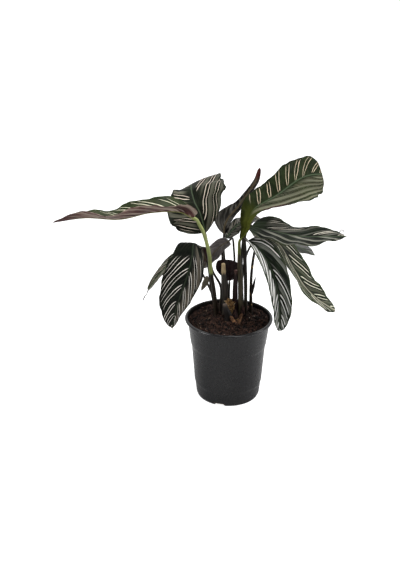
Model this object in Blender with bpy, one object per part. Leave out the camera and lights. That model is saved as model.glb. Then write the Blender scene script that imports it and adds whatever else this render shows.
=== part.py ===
"""Potted calathea: a pinstripe calathea growing in a round nursery pot.

Metres, +Z up.  The origin is the middle of the pot's foot, on the floor, and
-Y is the front.  The pot, the soil, the crown, every stalk and every leaf
blade is an object of its own, and neighbours stand GAP apart.
"""
import math

import bmesh
import bpy
import numpy as np
from mathutils import Matrix

GAP = 0.0003                 # clearance between pieces that touch in life

# Pot: a 14 cm nursery pot with a rolled lip and two steps in its wall.
POT_HEIGHT = 0.136
LIP_RADIUS = 0.070
LIP_HEIGHT = 0.0045
LIP_OVERHANG = 0.0045        # how far the lip stands out from the wall
LIP_WIDTH = 0.0058
UPPER_STEP_HEIGHT = 0.0905
LOWER_STEP_HEIGHT = 0.024
STEP_RISE = 0.0035           # height over which a step runs
ABOVE_UPPER_STEP = 0.0608    # wall radii, outside
BELOW_UPPER_STEP = 0.0592
ABOVE_LOWER_STEP = 0.0546
BELOW_LOWER_STEP = 0.0533
ABOVE_FOOT = 0.0514
FOOT_RADIUS = 0.0492
FOOT_RING_WIDTH = 0.005
WALL = 0.0015
CORNER = 0.0012              # how much the pot's corners are taken off
FLOOR_THICKNESS = 0.0018
PAD_RADIUS = 0.023           # flat middle of the floor, which stands on the ground
CHANNEL_HEIGHT = 0.005       # clear height of the ring channel round the pad
POT_SEGMENTS = 48
NOTCH_COUNT = 4              # openings in the foot ring, for drainage
NOTCH_TURN = -107            # degrees round from +X to the first notch
NOTCH_WIDTH = 0.015
NOTCH_HEIGHT = 0.004
DRAIN_RADIUS = 0.004
DRAIN_CIRCLE = 0.033

# Soil, heaped a little round the crown that the stalks stand on.
SOIL_LEVEL = 0.130
MOUND_HEIGHT = 0.006
MOUND_SPREAD = 0.036
SOIL_SEGMENTS = 24
CROWN_CENTRE = (0.007, 0.013)
CROWN_HALF_LENGTH = 0.037
CROWN_HALF_WIDTH = 0.0305
CROWN_TOP = 0.132
CROWN_THICKNESS = 0.014
CROWN_SEGMENTS = 24

BLADE_THICKNESS = 0.0009
BLADE_ROWS = 13
BLADE_COLUMNS = (-1.0, -0.5, 0.0, 0.5, 1.0)
STALK_RINGS = 11
STRAIGHT_FOOT = 0.010        # a stalk's upright stretch above the crown
STRAIGHT_NECK = 0.006        # its straight stretch below the blade
NECK_GAP = 0.0005            # clearance between a stalk's end and its blade

# Leaf blades.  rib: the midrib from stalk to tip, in metres.  face: the way
# the upper side looks, evenly spread from base to tip.  left, right: half
# widths in mm at stations spaced closer near base and tip, left as seen from
# above with the tip ahead.  rise: how steeply each half lifts off the midrib,
# in degrees from base to tip.  bow: how many degrees more it turns up by its
# edge.  wave: height in mm, count and phase of the edge's waves.  lean: how
# far a row's outer end runs on towards the tip, as a share of its width.
LEAVES = {
    "left_long": {
        "rib": [(-0.056, -0.070, 0.327), (-0.077, -0.074, 0.338), (-0.117, -0.084, 0.340),
                (-0.159, -0.092, 0.333), (-0.207, -0.098, 0.337), (-0.253, -0.100, 0.331)],
        "face": [(0, 0.17, 0.98)],
        "left": [2, 20, 31, 34, 33, 27, 17, 9, 0.6], "right": [2, 18, 28, 32, 29, 20, 9, 3, 0.6],
        "rise_left": [28, 25, 24, 26], "rise_right": [34, 34, 24, 6],
        "wave_left": (4, 2.65, 0.14), "wave_right": (2.5, 3.6, 0.6), "lean": [-0.2, 0.3]},
    "upper_left": {
        "rib": [(-0.038, -0.025, 0.288), (-0.041, -0.023, 0.301), (-0.046, -0.017, 0.317),
                (-0.054, -0.006, 0.330), (-0.059, 0.014, 0.343), (-0.059, 0.045, 0.342),
                (-0.057, 0.075, 0.322), (-0.057, 0.096, 0.290)],
        "face": [(0, -0.85, 0.5), (0, -0.7, 0.7), (-0.1, 0, 1), (0, 0.7, 0.6)],
        "left": [2, 26, 46, 40, 24, 20, 18, 9, 0.6], "right": [2, 9, 29, 52, 48, 40, 28, 12, 0.6],
        "rise_left": [5, 0, -30, -20], "rise_right": [5, 20, 29, 14],
        "bow_left": [-10, -20], "bow_right": [0, -30, -60],
        "wave_left": (2, 3, 0), "wave_right": (3, 4, 0), "lean": [-0.1, 0.3]},
    "lower_left": {
        "rib": [(-0.036, 0.000, 0.232), (-0.045, -0.014, 0.258), (-0.055, -0.028, 0.272),
                (-0.058, -0.044, 0.255), (-0.065, -0.054, 0.230), (-0.075, -0.057, 0.200),
                (-0.083, -0.054, 0.173), (-0.089, -0.046, 0.138)],
        "face": [(-0.6, 0.3, 0.6), (-0.2, -0.5, 0.9), (0.1, -0.95, 0.2), (0.1, -0.95, 0.2)],
        "left": [2, 7, 11, 17, 24, 18, 10, 4, 0.6], "right": [2, 8, 14, 27, 35, 31, 19, 8, 0.6],
        "rise_left": [-30, -35, 0, 10], "rise_right": [0, 5, 5, 10],
        "wave_left": (2, 3, 0), "wave_right": (2, 3, 0), "lean": [0, 0.3]},
    "back_left": {
        "rib": [(-0.059, 0.046, 0.211), (-0.078, 0.054, 0.217), (-0.098, 0.054, 0.202),
                (-0.117, 0.050, 0.181), (-0.131, 0.044, 0.162)],
        "face": [(0, -0.3, 0.95), (0, -0.5, 0.8)],
        "left": [2, 5, 9, 10, 9, 7, 5, 3, 0.6], "right": [2, 6, 10, 11, 9, 7, 5, 3, 0.6],
        "rise_left": [20], "rise_right": [20], "lean": [0, 0.3]},
    "middle": {
        "rib": [(-0.008, 0.042, 0.261), (-0.007, 0.043, 0.274), (0.000, 0.050, 0.286),
                (0.014, 0.060, 0.299), (0.028, 0.068, 0.317), (0.042, 0.072, 0.338),
                (0.048, 0.072, 0.360)],
        "face": [(0.2, 0.9, 0.2), (0.3, 0.9, 0.5)],
        "left": [2, 8, 10, 10, 8, 7, 5, 3, 0.6], "right": [2, 12, 22, 14, 7, 5, 4, 3, 0.6],
        "rise_left": [30], "rise_right": [30], "lean": [0, 0.3]},
    "inner_left": {
        "rib": [(0.000, 0.032, 0.253), (-0.016, 0.032, 0.242), (-0.029, 0.030, 0.226),
                (-0.043, 0.026, 0.209)],
        "face": [(-0.3, 0.9, 0.3)],
        "left": [2, 10, 13, 14, 14, 12, 10, 5, 0.6], "right": [2, 10, 13, 14, 14, 12, 10, 5, 0.6],
        "rise_left": [5], "rise_right": [5], "lean": [0, 0.3]},
    "back": {
        "rib": [(-0.004, 0.060, 0.247), (0.009, 0.070, 0.260), (0.023, 0.076, 0.269),
                (0.041, 0.080, 0.272), (0.056, 0.080, 0.269)],
        "face": [(0, -0.3, 0.9)],
        "left": [2, 8, 12, 12, 12, 11, 8, 4, 0.6], "right": [2, 8, 12, 12, 12, 11, 8, 4, 0.6],
        "rise_left": [0], "rise_right": [0],
        "wave_left": (3, 3, 0), "wave_right": (3, 3, 0), "lean": [0, 0.3]},
    "upper_right": {
        "rib": [(0.0165, -0.012, 0.273), (0.023, -0.016, 0.290), (0.026, -0.021, 0.307),
                (0.037, -0.021, 0.326), (0.070, 0.000, 0.339), (0.102, 0.025, 0.354),
                (0.122, 0.042, 0.357), (0.145, 0.062, 0.353)],
        "face": [(-0.2, -0.9, 0.3), (0.1, -0.75, 0.6), (0.2, -0.75, 0.62), (0.2, -0.75, 0.62)],
        "left": [2, 6, 10, 22, 27, 31, 32, 19, 0.6], "right": [2, 5, 8, 13, 27, 38, 33, 16, 0.6],
        "rise_left": [50, 5, 5, 5, 5], "rise_right": [50, 30, 20, 0, -10],
        "wave_left": (3, 2.6, 0.5), "wave_right": (3, 2.3, 0), "lean": [0, 0.3]},
    "right": {
        "rib": [(0.0325, -0.003, 0.2905), (0.059, -0.022, 0.2905), (0.102, -0.046, 0.290),
                (0.136, -0.062, 0.296), (0.166, -0.076, 0.301)],
        "face": [(0, -0.2, 0.98)],
        "left": [13, 28, 32, 31, 27, 25, 19, 8, 0.6], "right": [5, 16, 27, 31, 33, 30, 20, 8, 0.6],
        "rise_left": [8, 0, 0], "rise_right": [5],
        "wave_left": (4, 2, 0), "wave_right": (3, 4, 0), "lean": [0, 0.3]},
    "right_drooping": {
        "rib": [(0.052, -0.002, 0.274), (0.075, -0.012, 0.263), (0.096, -0.022, 0.230),
                (0.115, -0.026, 0.200), (0.138, -0.024, 0.176), (0.167, -0.016, 0.154)],
        "face": [(0.5, -0.5, 0.7), (0.5, -0.6, 0.6)],
        "left": [2, 16, 24, 26, 26, 22, 14, 6, 0.6], "right": [2, 13, 20, 22, 20, 17, 14, 7, 0.6],
        "rise_left": [10], "rise_right": [25],
        "wave_left": (2, 3, 0), "wave_right": (2, 3, 0), "lean": [0, 0.3]},
    "right_low": {
        "rib": [(0.026, -0.021, 0.273), (0.041, -0.042, 0.269), (0.055, -0.056, 0.253),
                (0.066, -0.062, 0.226), (0.073, -0.062, 0.194), (0.077, -0.052, 0.136)],
        "face": [(0.3, -0.4, 0.85), (0.2, -0.9, 0.3), (0.1, -0.95, 0.3)],
        "left": [2, 12, 20, 22, 22, 20, 15, 7, 0.6], "right": [2, 17, 24, 25, 22, 17, 12, 6, 0.6],
        "rise_left": [35, 40], "rise_right": [40],
        "wave_left": (2, 3, 0), "wave_right": (2, 3, 0), "lean": [0, 0.3]},
    "right_behind": {
        "rib": [(0.052, 0.040, 0.258), (0.090, 0.048, 0.245), (0.119, 0.048, 0.233),
                (0.138, 0.042, 0.224)],
        "face": [(0.2, -0.4, 0.9)],
        "left": [2, 10, 14, 15, 13, 10, 8, 3, 0.6], "right": [2, 10, 14, 17, 17, 14, 9, 3, 0.6],
        "rise_left": [10], "rise_right": [10], "lean": [0, 0.3]},
    "right_inner": {
        "rib": [(0.034, 0.014, 0.276), (0.052, 0.020, 0.263), (0.073, 0.017, 0.243),
                (0.092, 0.012, 0.219)],
        "face": [(0.3, -0.75, 0.6)],
        "left": [2, 6, 10, 14, 15, 13, 9, 4, 0.6], "right": [2, 6, 10, 14, 16, 14, 9, 4, 0.6],
        "rise_left": [10], "rise_right": [10], "lean": [0, 0.3]},
    "small_young": {
        "rib": [(0.001, 0.0195, 0.190), (0.001, 0.0205, 0.203), (0.001, 0.0205, 0.215),
                (0.003, 0.0205, 0.225)],
        "face": [(0, -0.9, 0.3)],
        "left": [2, 5, 9, 15, 20, 23, 21, 13, 2], "right": [2, 5, 9, 13, 19, 21, 19, 11, 2],
        "rise_left": [20, 10], "rise_right": [20, 10], "lean": [0, 0]},
}

# Stalks.  foot: x and y where it stands on the crown.  path: the way from
# there up to its blade, in metres.  radii: in mm from foot to top, evenly
# spread.
STALKS = {
    "left_long": {
        "foot": (-0.020, 0.010),
        "path": [(-0.024, 0.000, 0.181), (-0.029, -0.012, 0.218), (-0.033, -0.034, 0.262),
                 (-0.041, -0.054, 0.299), (-0.047, -0.064, 0.315)],
        "radii": [3.6, 3.2, 3.0, 2.9, 2.6, 2.4]},
    "upper_left": {
        "foot": (-0.013, 0.021),
        "path": [(-0.0125, 0.020, 0.178), (-0.0265, 0.006, 0.2135), (-0.032, -0.013, 0.252),
                 (-0.035, -0.023, 0.273)],
        "radii": [2.8, 2.2, 1.7, 1.5, 1.5]},
    "lower_left": {
        "foot": (-0.022, 0.022),
        "path": [(-0.028, 0.019, 0.175), (-0.031, 0.012, 0.205)],
        "radii": [2.6, 2.0, 1.7]},
    "back_left": {
        "foot": (-0.019, 0.030),
        "path": [(-0.026, 0.034, 0.160), (-0.040, 0.038, 0.190)],
        "radii": [2.2, 1.8, 1.5]},
    "middle": {
        "foot": (-0.004, 0.030),
        "path": [(-0.007, 0.036, 0.185), (-0.010, 0.041, 0.222), (-0.010, 0.042, 0.242)],
        "radii": [2.4, 2.0, 1.6]},
    "inner_left": {
        "foot": (0.010, 0.024),
        "path": [(0.0095, 0.026, 0.180), (0.009, 0.030, 0.218), (0.0075, 0.033, 0.240)],
        "radii": [2.4, 2.0, 1.7, 1.6]},
    "back": {
        "foot": (0.0005, 0.037),
        "path": [(-0.003, 0.044, 0.185), (-0.0065, 0.050, 0.215)],
        "radii": [2.2, 1.8, 1.5]},
    "upper_right": {
        "foot": (0.0195, 0.009),
        "path": [(0.0178, 0.006, 0.196), (0.0155, -0.001, 0.228), (0.0145, -0.007, 0.252)],
        "radii": [4.7, 4.4, 3.6, 1.8]},
    "right": {
        "foot": (0.0275, 0.018),
        "path": [(0.0255, 0.014, 0.193), (0.0235, 0.008, 0.228), (0.022, 0.000, 0.261)],
        "radii": [2.6, 2.2, 2.0, 1.8]},
    "right_drooping": {
        "foot": (0.036, 0.020),
        "path": [(0.035, 0.014, 0.195), (0.037, 0.007, 0.232), (0.041, 0.003, 0.257)],
        "radii": [3.0, 2.4, 2.0, 1.8]},
    "right_low": {
        "foot": (0.0275, 0.008),
        "path": [(0.0265, 0.002, 0.195), (0.0245, -0.006, 0.235), (0.0235, -0.012, 0.258)],
        "radii": [2.4, 2.0, 1.8]},
    "right_behind": {
        "foot": (0.022, 0.033),
        "path": [(0.022, 0.035, 0.190), (0.029, 0.037, 0.230)],
        "radii": [2.2, 1.8, 1.5]},
    "right_inner": {
        "foot": (0.019, 0.026),
        "path": [(0.020, 0.024, 0.190), (0.020, 0.019, 0.240), (0.022, 0.015, 0.268)],
        "radii": [2.2, 1.8, 1.5]},
    "small_young": {
        "foot": (0.0015, 0.019),
        "path": [(0.0005, 0.0185, 0.165)],
        "radii": [2.0, 1.8, 1.6]},
}

# Bare stalks, whose leaves were cut off or broke away.
BARE_STALKS = {
    "stalk_cut": {
        "foot": (-0.006, 0.012),
        "path": [(-0.0065, 0.011, 0.170), (-0.0085, 0.009, 0.200), (-0.0095, 0.006, 0.225)],
        "radii": [5.2, 5.0, 4.4, 3.0]},
    "stalk_brown": {
        "foot": (0.0110, 0.012),
        "path": [(0.0100, 0.0105, 0.165), (0.0098, 0.0085, 0.187), (0.0108, 0.0060, 0.214)],
        "radii": [4.4, 4.4, 4.0, 3.0]},
    "stub_dark": {
        "foot": (-0.001, -0.0095),
        "path": [(-0.0045, -0.0095, 0.152), (-0.0073, -0.008, 0.1625)],
        "radii": [5.5, 5.0, 4.0, 2.4]},
}

# Dry sheaths: small blades that stand on the crown or cling to a stalk.
SHEATHS = {
    "sheath_torn": {
        "rib": [(0.001, 0.001, 0.1325), (0.001, 0.002, 0.148), (0.001, 0.003, 0.166)],
        "face": [(0, -0.95, 0.1)],
        "left": [6, 7, 8, 8, 8, 7, 6, 4, 1], "right": [6, 7, 8, 8, 8, 8, 5, 3, 1],
        "rise_left": [-25], "rise_right": [-25], "lean": [0]},
    "sheath_left": {
        "rib": [(-0.0335, -0.0075, 0.2085), (-0.0380, -0.004, 0.196), (-0.0435, 0.000, 0.1816)],
        "face": [(-0.3, -0.9, 0.2)],
        "left": [1.5, 3, 4.2, 4.6, 4.4, 3.4, 2.2, 1.3, 0.5],
        "right": [1.5, 3, 4.2, 4.6, 4.4, 3.4, 2.2, 1.3, 0.5],
        "rise_left": [-20], "rise_right": [-20], "lean": [0]},
    "sheath_right": {
        "rib": [(0.0363, 0.0138, 0.170), (0.0389, 0.0118, 0.1843), (0.0415, 0.0098, 0.1997)],
        "face": [(0.2, -0.9, 0.1)],
        "left": [2, 2.2, 2.5, 2.5, 2, 1.6, 1, 0.8, 0.5],
        "right": [2, 2.2, 2.5, 2.5, 2, 1.6, 1, 0.8, 0.5],
        "rise_left": [-10], "rise_right": [-10], "lean": [0]},
}

COLOURS = {
    "pot": ((0.035, 0.036, 0.037), 0.5),
    "soil": ((0.030, 0.018, 0.012), 0.95),
    "crown": ((0.120, 0.070, 0.035), 0.85),
    "leaf_green": ((0.045, 0.080, 0.035), 0.45),
    "leaf_maroon": ((0.080, 0.045, 0.050), 0.5),
    "stalk_green": ((0.180, 0.230, 0.060), 0.5),
    "stalk_dark": ((0.045, 0.035, 0.022), 0.6),
    "dry": ((0.250, 0.140, 0.060), 0.8),
}


def clear_scene():
    for item in list(bpy.data.objects):
        bpy.data.objects.remove(item, do_unlink=True)


def make_materials():
    made = {}
    for name, (colour, roughness) in COLOURS.items():
        material = bpy.data.materials.new(name)
        material.use_nodes = True
        shader = material.node_tree.nodes["Principled BSDF"]
        shader.inputs["Base Color"].default_value = (*colour, 1.0)
        shader.inputs["Roughness"].default_value = roughness
        shader.inputs["Metallic"].default_value = 0.0
        made[name] = material
    return made


def link_object(name, data, material):
    data.materials.append(material)
    made = bpy.data.objects.new(name, data)
    bpy.context.scene.collection.objects.link(made)
    return made


def add_mesh_object(name, shape, material, smooth_angle):
    """An object from a bmesh, smooth but for edges over the angle in degrees."""
    mesh = bpy.data.meshes.new(name)
    bmesh.ops.recalc_face_normals(shape, faces=shape.faces)
    shape.to_mesh(mesh)
    shape.free()
    mesh.shade_smooth()
    mesh.set_sharp_from_angle(angle=math.radians(smooth_angle))
    return link_object(name, mesh, material)


def add_cutter(target, name, shape, material):
    cutter = add_mesh_object(name, shape, material, smooth_angle=30)
    cutter.hide_render = True
    cutter.display_type = "WIRE"
    boolean = target.modifiers.new(name, "BOOLEAN")
    boolean.operation = "DIFFERENCE"
    boolean.solver = "EXACT"
    boolean.object = cutter


def turned(profile, segments):
    """A bmesh of a profile of (radius, height) points spun about Z."""
    shape = bmesh.new()
    line = [shape.verts.new((radius, 0.0, height)) for radius, height in profile]
    for start, end in zip(line[:-1], line[1:]):
        shape.edges.new((start, end))
    bmesh.ops.spin(shape, geom=shape.verts[:] + shape.edges[:], cent=(0, 0, 0), axis=(0, 0, 1),
                   angle=2 * math.pi, steps=segments, use_merge=True)
    bmesh.ops.remove_doubles(shape, verts=shape.verts, dist=0.00001)
    return shape


def unit(rows):
    return rows / np.linalg.norm(rows, axis=-1, keepdims=True)


def smooth_path(points, stations):
    """A Catmull-Rom curve through the points, read at shares of its length."""
    knots = np.asarray(points, float)
    knots = np.vstack([2 * knots[0] - knots[1], knots, 2 * knots[-1] - knots[-2]])
    share = np.linspace(0, 1, 24, endpoint=False)[:, None]
    pieces = []
    for before, start, end, after in zip(knots[:-3], knots[1:-2], knots[2:-1], knots[3:]):
        pieces.append(0.5 * (2 * start + (end - before) * share
                             + (2 * before - 5 * start + 4 * end - after) * share ** 2
                             + (3 * start - before - 3 * end + after) * share ** 3))
    dense = np.vstack(pieces + [knots[-2][None]])
    steps = np.linalg.norm(np.diff(dense, axis=0), axis=1)
    along = np.r_[0, np.cumsum(steps)] / steps.sum()
    return np.stack([np.interp(stations, along, axis) for axis in dense.T], axis=1)


def between(values, stations):
    """Values or vectors spread evenly from base to tip, read at the stations."""
    table = np.asarray(values, float)
    table = table.reshape(len(table), -1)
    places = np.linspace(0, 1, len(table)) if len(table) > 1 else [0.0]
    return np.stack([np.interp(stations, places, column) for column in table.T], axis=1)


def cosine_stations(count):
    return (1 - np.cos(np.pi * np.arange(count) / (count - 1))) / 2


def smooth_widths(widths, stations):
    """A cubic through widths at cosine-spaced stations that never overshoots."""
    places = cosine_stations(len(widths))
    values = np.asarray(widths, float)
    slopes = np.diff(values) / np.diff(places)
    before, after = slopes[:-1], slopes[1:]
    steady = before * after > 0
    mean = np.where(steady, 2 * before * after / np.where(steady, before + after, 1), 0)
    tangents = np.r_[1.5 * slopes[0], mean, slopes[-1]]
    index = np.clip(np.searchsorted(places, stations, side="right") - 1, 0, len(values) - 2)
    step = places[index + 1] - places[index]
    share = (stations - places[index]) / step
    return ((2 * share ** 3 - 3 * share ** 2 + 1) * values[index]
            + (share ** 3 - 2 * share ** 2 + share) * step * tangents[index]
            + (3 * share ** 2 - 2 * share ** 3) * values[index + 1]
            + (share ** 3 - share ** 2) * step * tangents[index + 1])


def blade_surface(leaf, rows, columns):
    """The blade's middle surface, as points for each row and column.

    Each half starts at the midrib, rises at its own angle and bows as an arc,
    so its cross-section is part of a circle; a sine wave lifts its edge.
    """
    fine = np.linspace(0, 1, 201)
    heading = unit(np.gradient(smooth_path(leaf["rib"], fine), axis=0))
    rib = smooth_path(leaf["rib"], rows)
    ahead = unit(np.stack([np.interp(rows, fine, axis) for axis in heading.T], axis=1))
    face = between(leaf["face"], rows)
    up = unit(face - (face * ahead).sum(axis=1, keepdims=True) * ahead)
    side = np.cross(up, ahead)
    out = np.abs(np.asarray(columns))[None, :]
    grid = np.zeros((len(rows), len(columns), 3))
    for half, sign in (("left", 1.0), ("right", -1.0)):
        width = smooth_widths(leaf[half], rows)[:, None] / 1000
        rise = np.radians(between(leaf["rise_" + half], rows))
        bow = np.radians(between(leaf.get("bow_" + half, [0.1]), rows))
        bow = np.where(np.abs(bow) < 0.001, 0.001, bow)
        height, count, phase = leaf.get("wave_" + half, (0, 0, 0))
        ripple = np.sqrt(np.sin(np.pi * rows).clip(0)) * np.sin(2 * np.pi * (count * rows + phase))
        across = width * (np.sin(rise + bow * out) - np.sin(rise)) / bow
        lift = width * (np.cos(rise) - np.cos(rise + bow * out)) / bow
        lift = lift + height / 1000 * ripple[:, None] * out ** 2
        forward = between(leaf["lean"], rows) * (width - width[0]) * out
        points = (rib[:, None] + side[:, None] * (sign * across)[..., None]
                  + up[:, None] * lift[..., None] + ahead[:, None] * forward[..., None])
        on_half = np.asarray(columns) * sign >= 0
        grid[:, on_half] = points[:, on_half]
    return grid


def add_blade(name, leaf, material):
    """A thin closed blade: a grid of quads with a Solidify modifier."""
    rows = (np.linspace(0, 1, BLADE_ROWS) + cosine_stations(BLADE_ROWS)) / 2
    grid = blade_surface(leaf, rows, BLADE_COLUMNS)
    width = len(BLADE_COLUMNS)
    faces = []
    for row in range(BLADE_ROWS - 1):
        for column in range(width - 1):
            corner = row * width + column
            faces.append((corner, corner + width, corner + width + 1, corner + 1))
    mesh = bpy.data.meshes.new(name)
    mesh.from_pydata(grid.reshape(-1, 3).tolist(), [], faces)
    mesh.shade_smooth()
    blade = link_object(name, mesh, material)
    solidify = blade.modifiers.new("thickness", "SOLIDIFY")
    solidify.thickness = BLADE_THICKNESS
    solidify.offset = 0.0
    return blade


def add_stalk(name, stalk, material, blade=None):
    """A tapered stalk from the crown up to just short of its blade."""
    x, y = stalk["foot"]
    knots = [(x, y, CROWN_TOP + STRAIGHT_FOOT), *stalk["path"]]
    ends = [(x, y, CROWN_TOP + GAP)]
    if blade is not None:
        base, beyond = smooth_path(blade["rib"], np.array([0.0, 0.02]))
        ahead = unit(beyond - base)
        knots.append(base - ahead * (NECK_GAP + STRAIGHT_NECK))
        ends.append(base - ahead * NECK_GAP)
    points = smooth_path(knots, np.linspace(0, 1, STALK_RINGS))
    points = np.vstack([ends[:1], points, *ends[1:]])
    radii = between(stalk["radii"], np.linspace(0, 1, len(points)))[:, 0]
    curve = bpy.data.curves.new(name, "CURVE")
    curve.dimensions = "3D"
    curve.bevel_depth = 0.001
    curve.bevel_resolution = 2
    curve.use_fill_caps = True
    spline = curve.splines.new("POLY")
    spline.points.add(len(points) - 1)
    for target, point, radius in zip(spline.points, points, radii):
        target.co = (*point, 1.0)
        target.radius = radius
    return link_object(name, curve, material)


def wall_outline():
    """The wall's outside from above the foot to under the lip."""
    half = STEP_RISE / 2
    return [(ABOVE_FOOT, CHANNEL_HEIGHT - 0.001),
            (BELOW_LOWER_STEP, LOWER_STEP_HEIGHT - half),
            (ABOVE_LOWER_STEP, LOWER_STEP_HEIGHT + half),
            (BELOW_UPPER_STEP, UPPER_STEP_HEIGHT - half),
            (ABOVE_UPPER_STEP, UPPER_STEP_HEIGHT + half),
            (LIP_RADIUS - LIP_OVERHANG, POT_HEIGHT - LIP_HEIGHT - 0.001)]


def floor_outline(lift):
    """The top of the floor from its middle to the wall, raised by `lift`."""
    pad = PAD_RADIUS - FLOOR_THICKNESS - lift
    return [(0.0, FLOOR_THICKNESS + lift), (pad, FLOOR_THICKNESS + lift),
            (pad + CORNER, FLOOR_THICKNESS + CHANNEL_HEIGHT + lift),
            (ABOVE_FOOT - WALL - CORNER - lift, FLOOR_THICKNESS + CHANNEL_HEIGHT + lift)]


def add_pot(material):
    outline = wall_outline()
    lip_bottom = POT_HEIGHT - LIP_HEIGHT
    ring_inside = FOOT_RADIUS - FOOT_RING_WIDTH
    under = [(0.0, 0.0), (PAD_RADIUS, 0.0), (PAD_RADIUS + CORNER, CHANNEL_HEIGHT),
             (ring_inside - CORNER, CHANNEL_HEIGHT), (ring_inside, 0.0)]
    foot = [(FOOT_RADIUS, 0.0), (FOOT_RADIUS + CORNER, CORNER)]
    lip = [(LIP_RADIUS - CORNER, lip_bottom), (LIP_RADIUS, lip_bottom + CORNER),
           (LIP_RADIUS, POT_HEIGHT - CORNER), (LIP_RADIUS - CORNER, POT_HEIGHT),
           (LIP_RADIUS - LIP_WIDTH + CORNER, POT_HEIGHT),
           (LIP_RADIUS - LIP_WIDTH, POT_HEIGHT - CORNER)]
    inside = [(radius - WALL, height) for radius, height in reversed(outline[1:])]
    floor = floor_outline(0.0)[::-1]
    shape = turned(under + foot + outline + lip + inside + floor, POT_SEGMENTS)
    pot = add_mesh_object("pot", shape, material, smooth_angle=35)
    for number in range(NOTCH_COUNT):
        turn = math.radians(NOTCH_TURN) + 2 * math.pi * number / NOTCH_COUNT
        notch = bmesh.new()
        size = Matrix.Diagonal((4 * FOOT_RING_WIDTH, NOTCH_WIDTH, 2 * NOTCH_HEIGHT, 1))
        place = Matrix.Rotation(turn, 4, "Z") @ Matrix.Translation((FOOT_RADIUS, 0, 0))
        bmesh.ops.create_cube(notch, size=1, matrix=place @ size)
        add_cutter(pot, f"notch_cutter_{number}", notch, material)
        between_notches = Matrix.Rotation(turn + math.pi / NOTCH_COUNT, 4, "Z")
        place = between_notches @ Matrix.Translation((DRAIN_CIRCLE, 0, CHANNEL_HEIGHT))
        drain = bmesh.new()
        bmesh.ops.create_cone(drain, cap_ends=True, segments=10, radius1=DRAIN_RADIUS,
                              radius2=DRAIN_RADIUS, depth=4 * FLOOR_THICKNESS, matrix=place)
        add_cutter(pot, f"drain_cutter_{number}", drain, material)
    return pot


def oval(grow, bottom, top):
    """A bmesh of the crown's upright oval, grown by `grow` at its side."""
    shape = bmesh.new()
    stretch = Matrix.Diagonal((CROWN_HALF_LENGTH + grow, CROWN_HALF_WIDTH + grow, 1, 1))
    place = Matrix.Translation((*CROWN_CENTRE, (bottom + top) / 2))
    bmesh.ops.create_cone(shape, cap_ends=True, segments=CROWN_SEGMENTS, radius1=1, radius2=1,
                          depth=top - bottom, matrix=place @ stretch)
    return shape


def add_crown(material):
    shape = oval(0.0, CROWN_TOP - CROWN_THICKNESS, CROWN_TOP)
    return add_mesh_object("crown", shape, material, smooth_angle=40)


def add_soil(material):
    outline = wall_outline()
    (low_radius, low_height), (neck_radius, neck_height) = outline[-2:]
    share = (SOIL_LEVEL - low_height) / (neck_height - low_height)
    clear = WALL + GAP
    rim = low_radius + share * (neck_radius - low_radius) - clear
    profile = floor_outline(GAP)
    profile += [(radius - clear, height) for radius, height in outline[1:-1]]
    profile += [(rim * part, SOIL_LEVEL) for part in (1.0, 0.8, 0.6, 0.4, 0.2, 0.0)]
    shape = turned(profile, SOIL_SEGMENTS)
    for vertex in shape.verts:
        x, y, z = vertex.co
        if z > SOIL_LEVEL - GAP and math.hypot(x, y) < rim - GAP:
            away = math.hypot(x - CROWN_CENTRE[0], y - CROWN_CENTRE[1])
            vertex.co.z += MOUND_HEIGHT * math.exp(-(away / MOUND_SPREAD) ** 2)
    soil = add_mesh_object("soil", shape, material, smooth_angle=40)
    pocket = oval(GAP, CROWN_TOP - CROWN_THICKNESS - GAP, CROWN_TOP + 2 * MOUND_HEIGHT)
    add_cutter(soil, "crown_pocket_cutter", pocket, material)
    return soil


def main():
    clear_scene()
    materials = make_materials()
    add_pot(materials["pot"])
    add_soil(materials["soil"])
    add_crown(materials["crown"])
    maroon_leaves = ("middle", "inner_left", "small_young")
    for name, leaf in LEAVES.items():
        colour = "leaf_maroon" if name in maroon_leaves else "leaf_green"
        add_blade("leaf_" + name, leaf, materials[colour])
    for name, stalk in STALKS.items():
        colour = "stalk_green" if name == "left_long" else "stalk_dark"
        add_stalk("stalk_" + name, stalk, materials[colour], LEAVES[name])
    for name, stalk in BARE_STALKS.items():
        add_stalk(name, stalk, materials["stalk_dark"])
    for name, sheath in SHEATHS.items():
        add_blade(name, sheath, materials["dry"])


main()
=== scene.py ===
import math

import bpy
import numpy as np
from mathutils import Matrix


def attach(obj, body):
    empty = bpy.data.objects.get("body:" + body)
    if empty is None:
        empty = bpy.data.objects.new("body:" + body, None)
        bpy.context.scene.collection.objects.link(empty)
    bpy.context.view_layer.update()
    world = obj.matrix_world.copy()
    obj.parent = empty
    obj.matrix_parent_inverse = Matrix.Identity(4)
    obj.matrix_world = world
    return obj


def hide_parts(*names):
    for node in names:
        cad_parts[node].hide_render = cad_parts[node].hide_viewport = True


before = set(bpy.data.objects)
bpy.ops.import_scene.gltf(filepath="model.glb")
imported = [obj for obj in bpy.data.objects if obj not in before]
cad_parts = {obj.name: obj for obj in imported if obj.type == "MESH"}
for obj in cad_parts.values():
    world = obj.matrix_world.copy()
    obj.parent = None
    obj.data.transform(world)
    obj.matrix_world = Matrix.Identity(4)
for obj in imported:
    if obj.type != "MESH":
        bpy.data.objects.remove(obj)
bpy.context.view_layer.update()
print("frame loaded:", len(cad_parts), "nodes")

scene = bpy.context.scene
scene.view_settings.view_transform = "Standard"


def unit(rows):
    # each vector divided by its own length
    return rows / np.maximum(np.linalg.norm(rows, axis=-1, keepdims=True), 1e-12)


def circle(count):
    # evenly spread angles of one full turn, as a row
    return np.linspace(0, 2 * np.pi, count, endpoint=False)[None, :]


def turned(radius, height, angle):
    # points at a radius and height all the way round the axis
    return np.stack([radius * np.cos(angle), radius * np.sin(angle), height + 0 * angle], axis=-1)


def ramp(value, span):
    # from 0 to 1 as value goes from 0 to span
    return np.clip(value / span, 0, 1)


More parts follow.
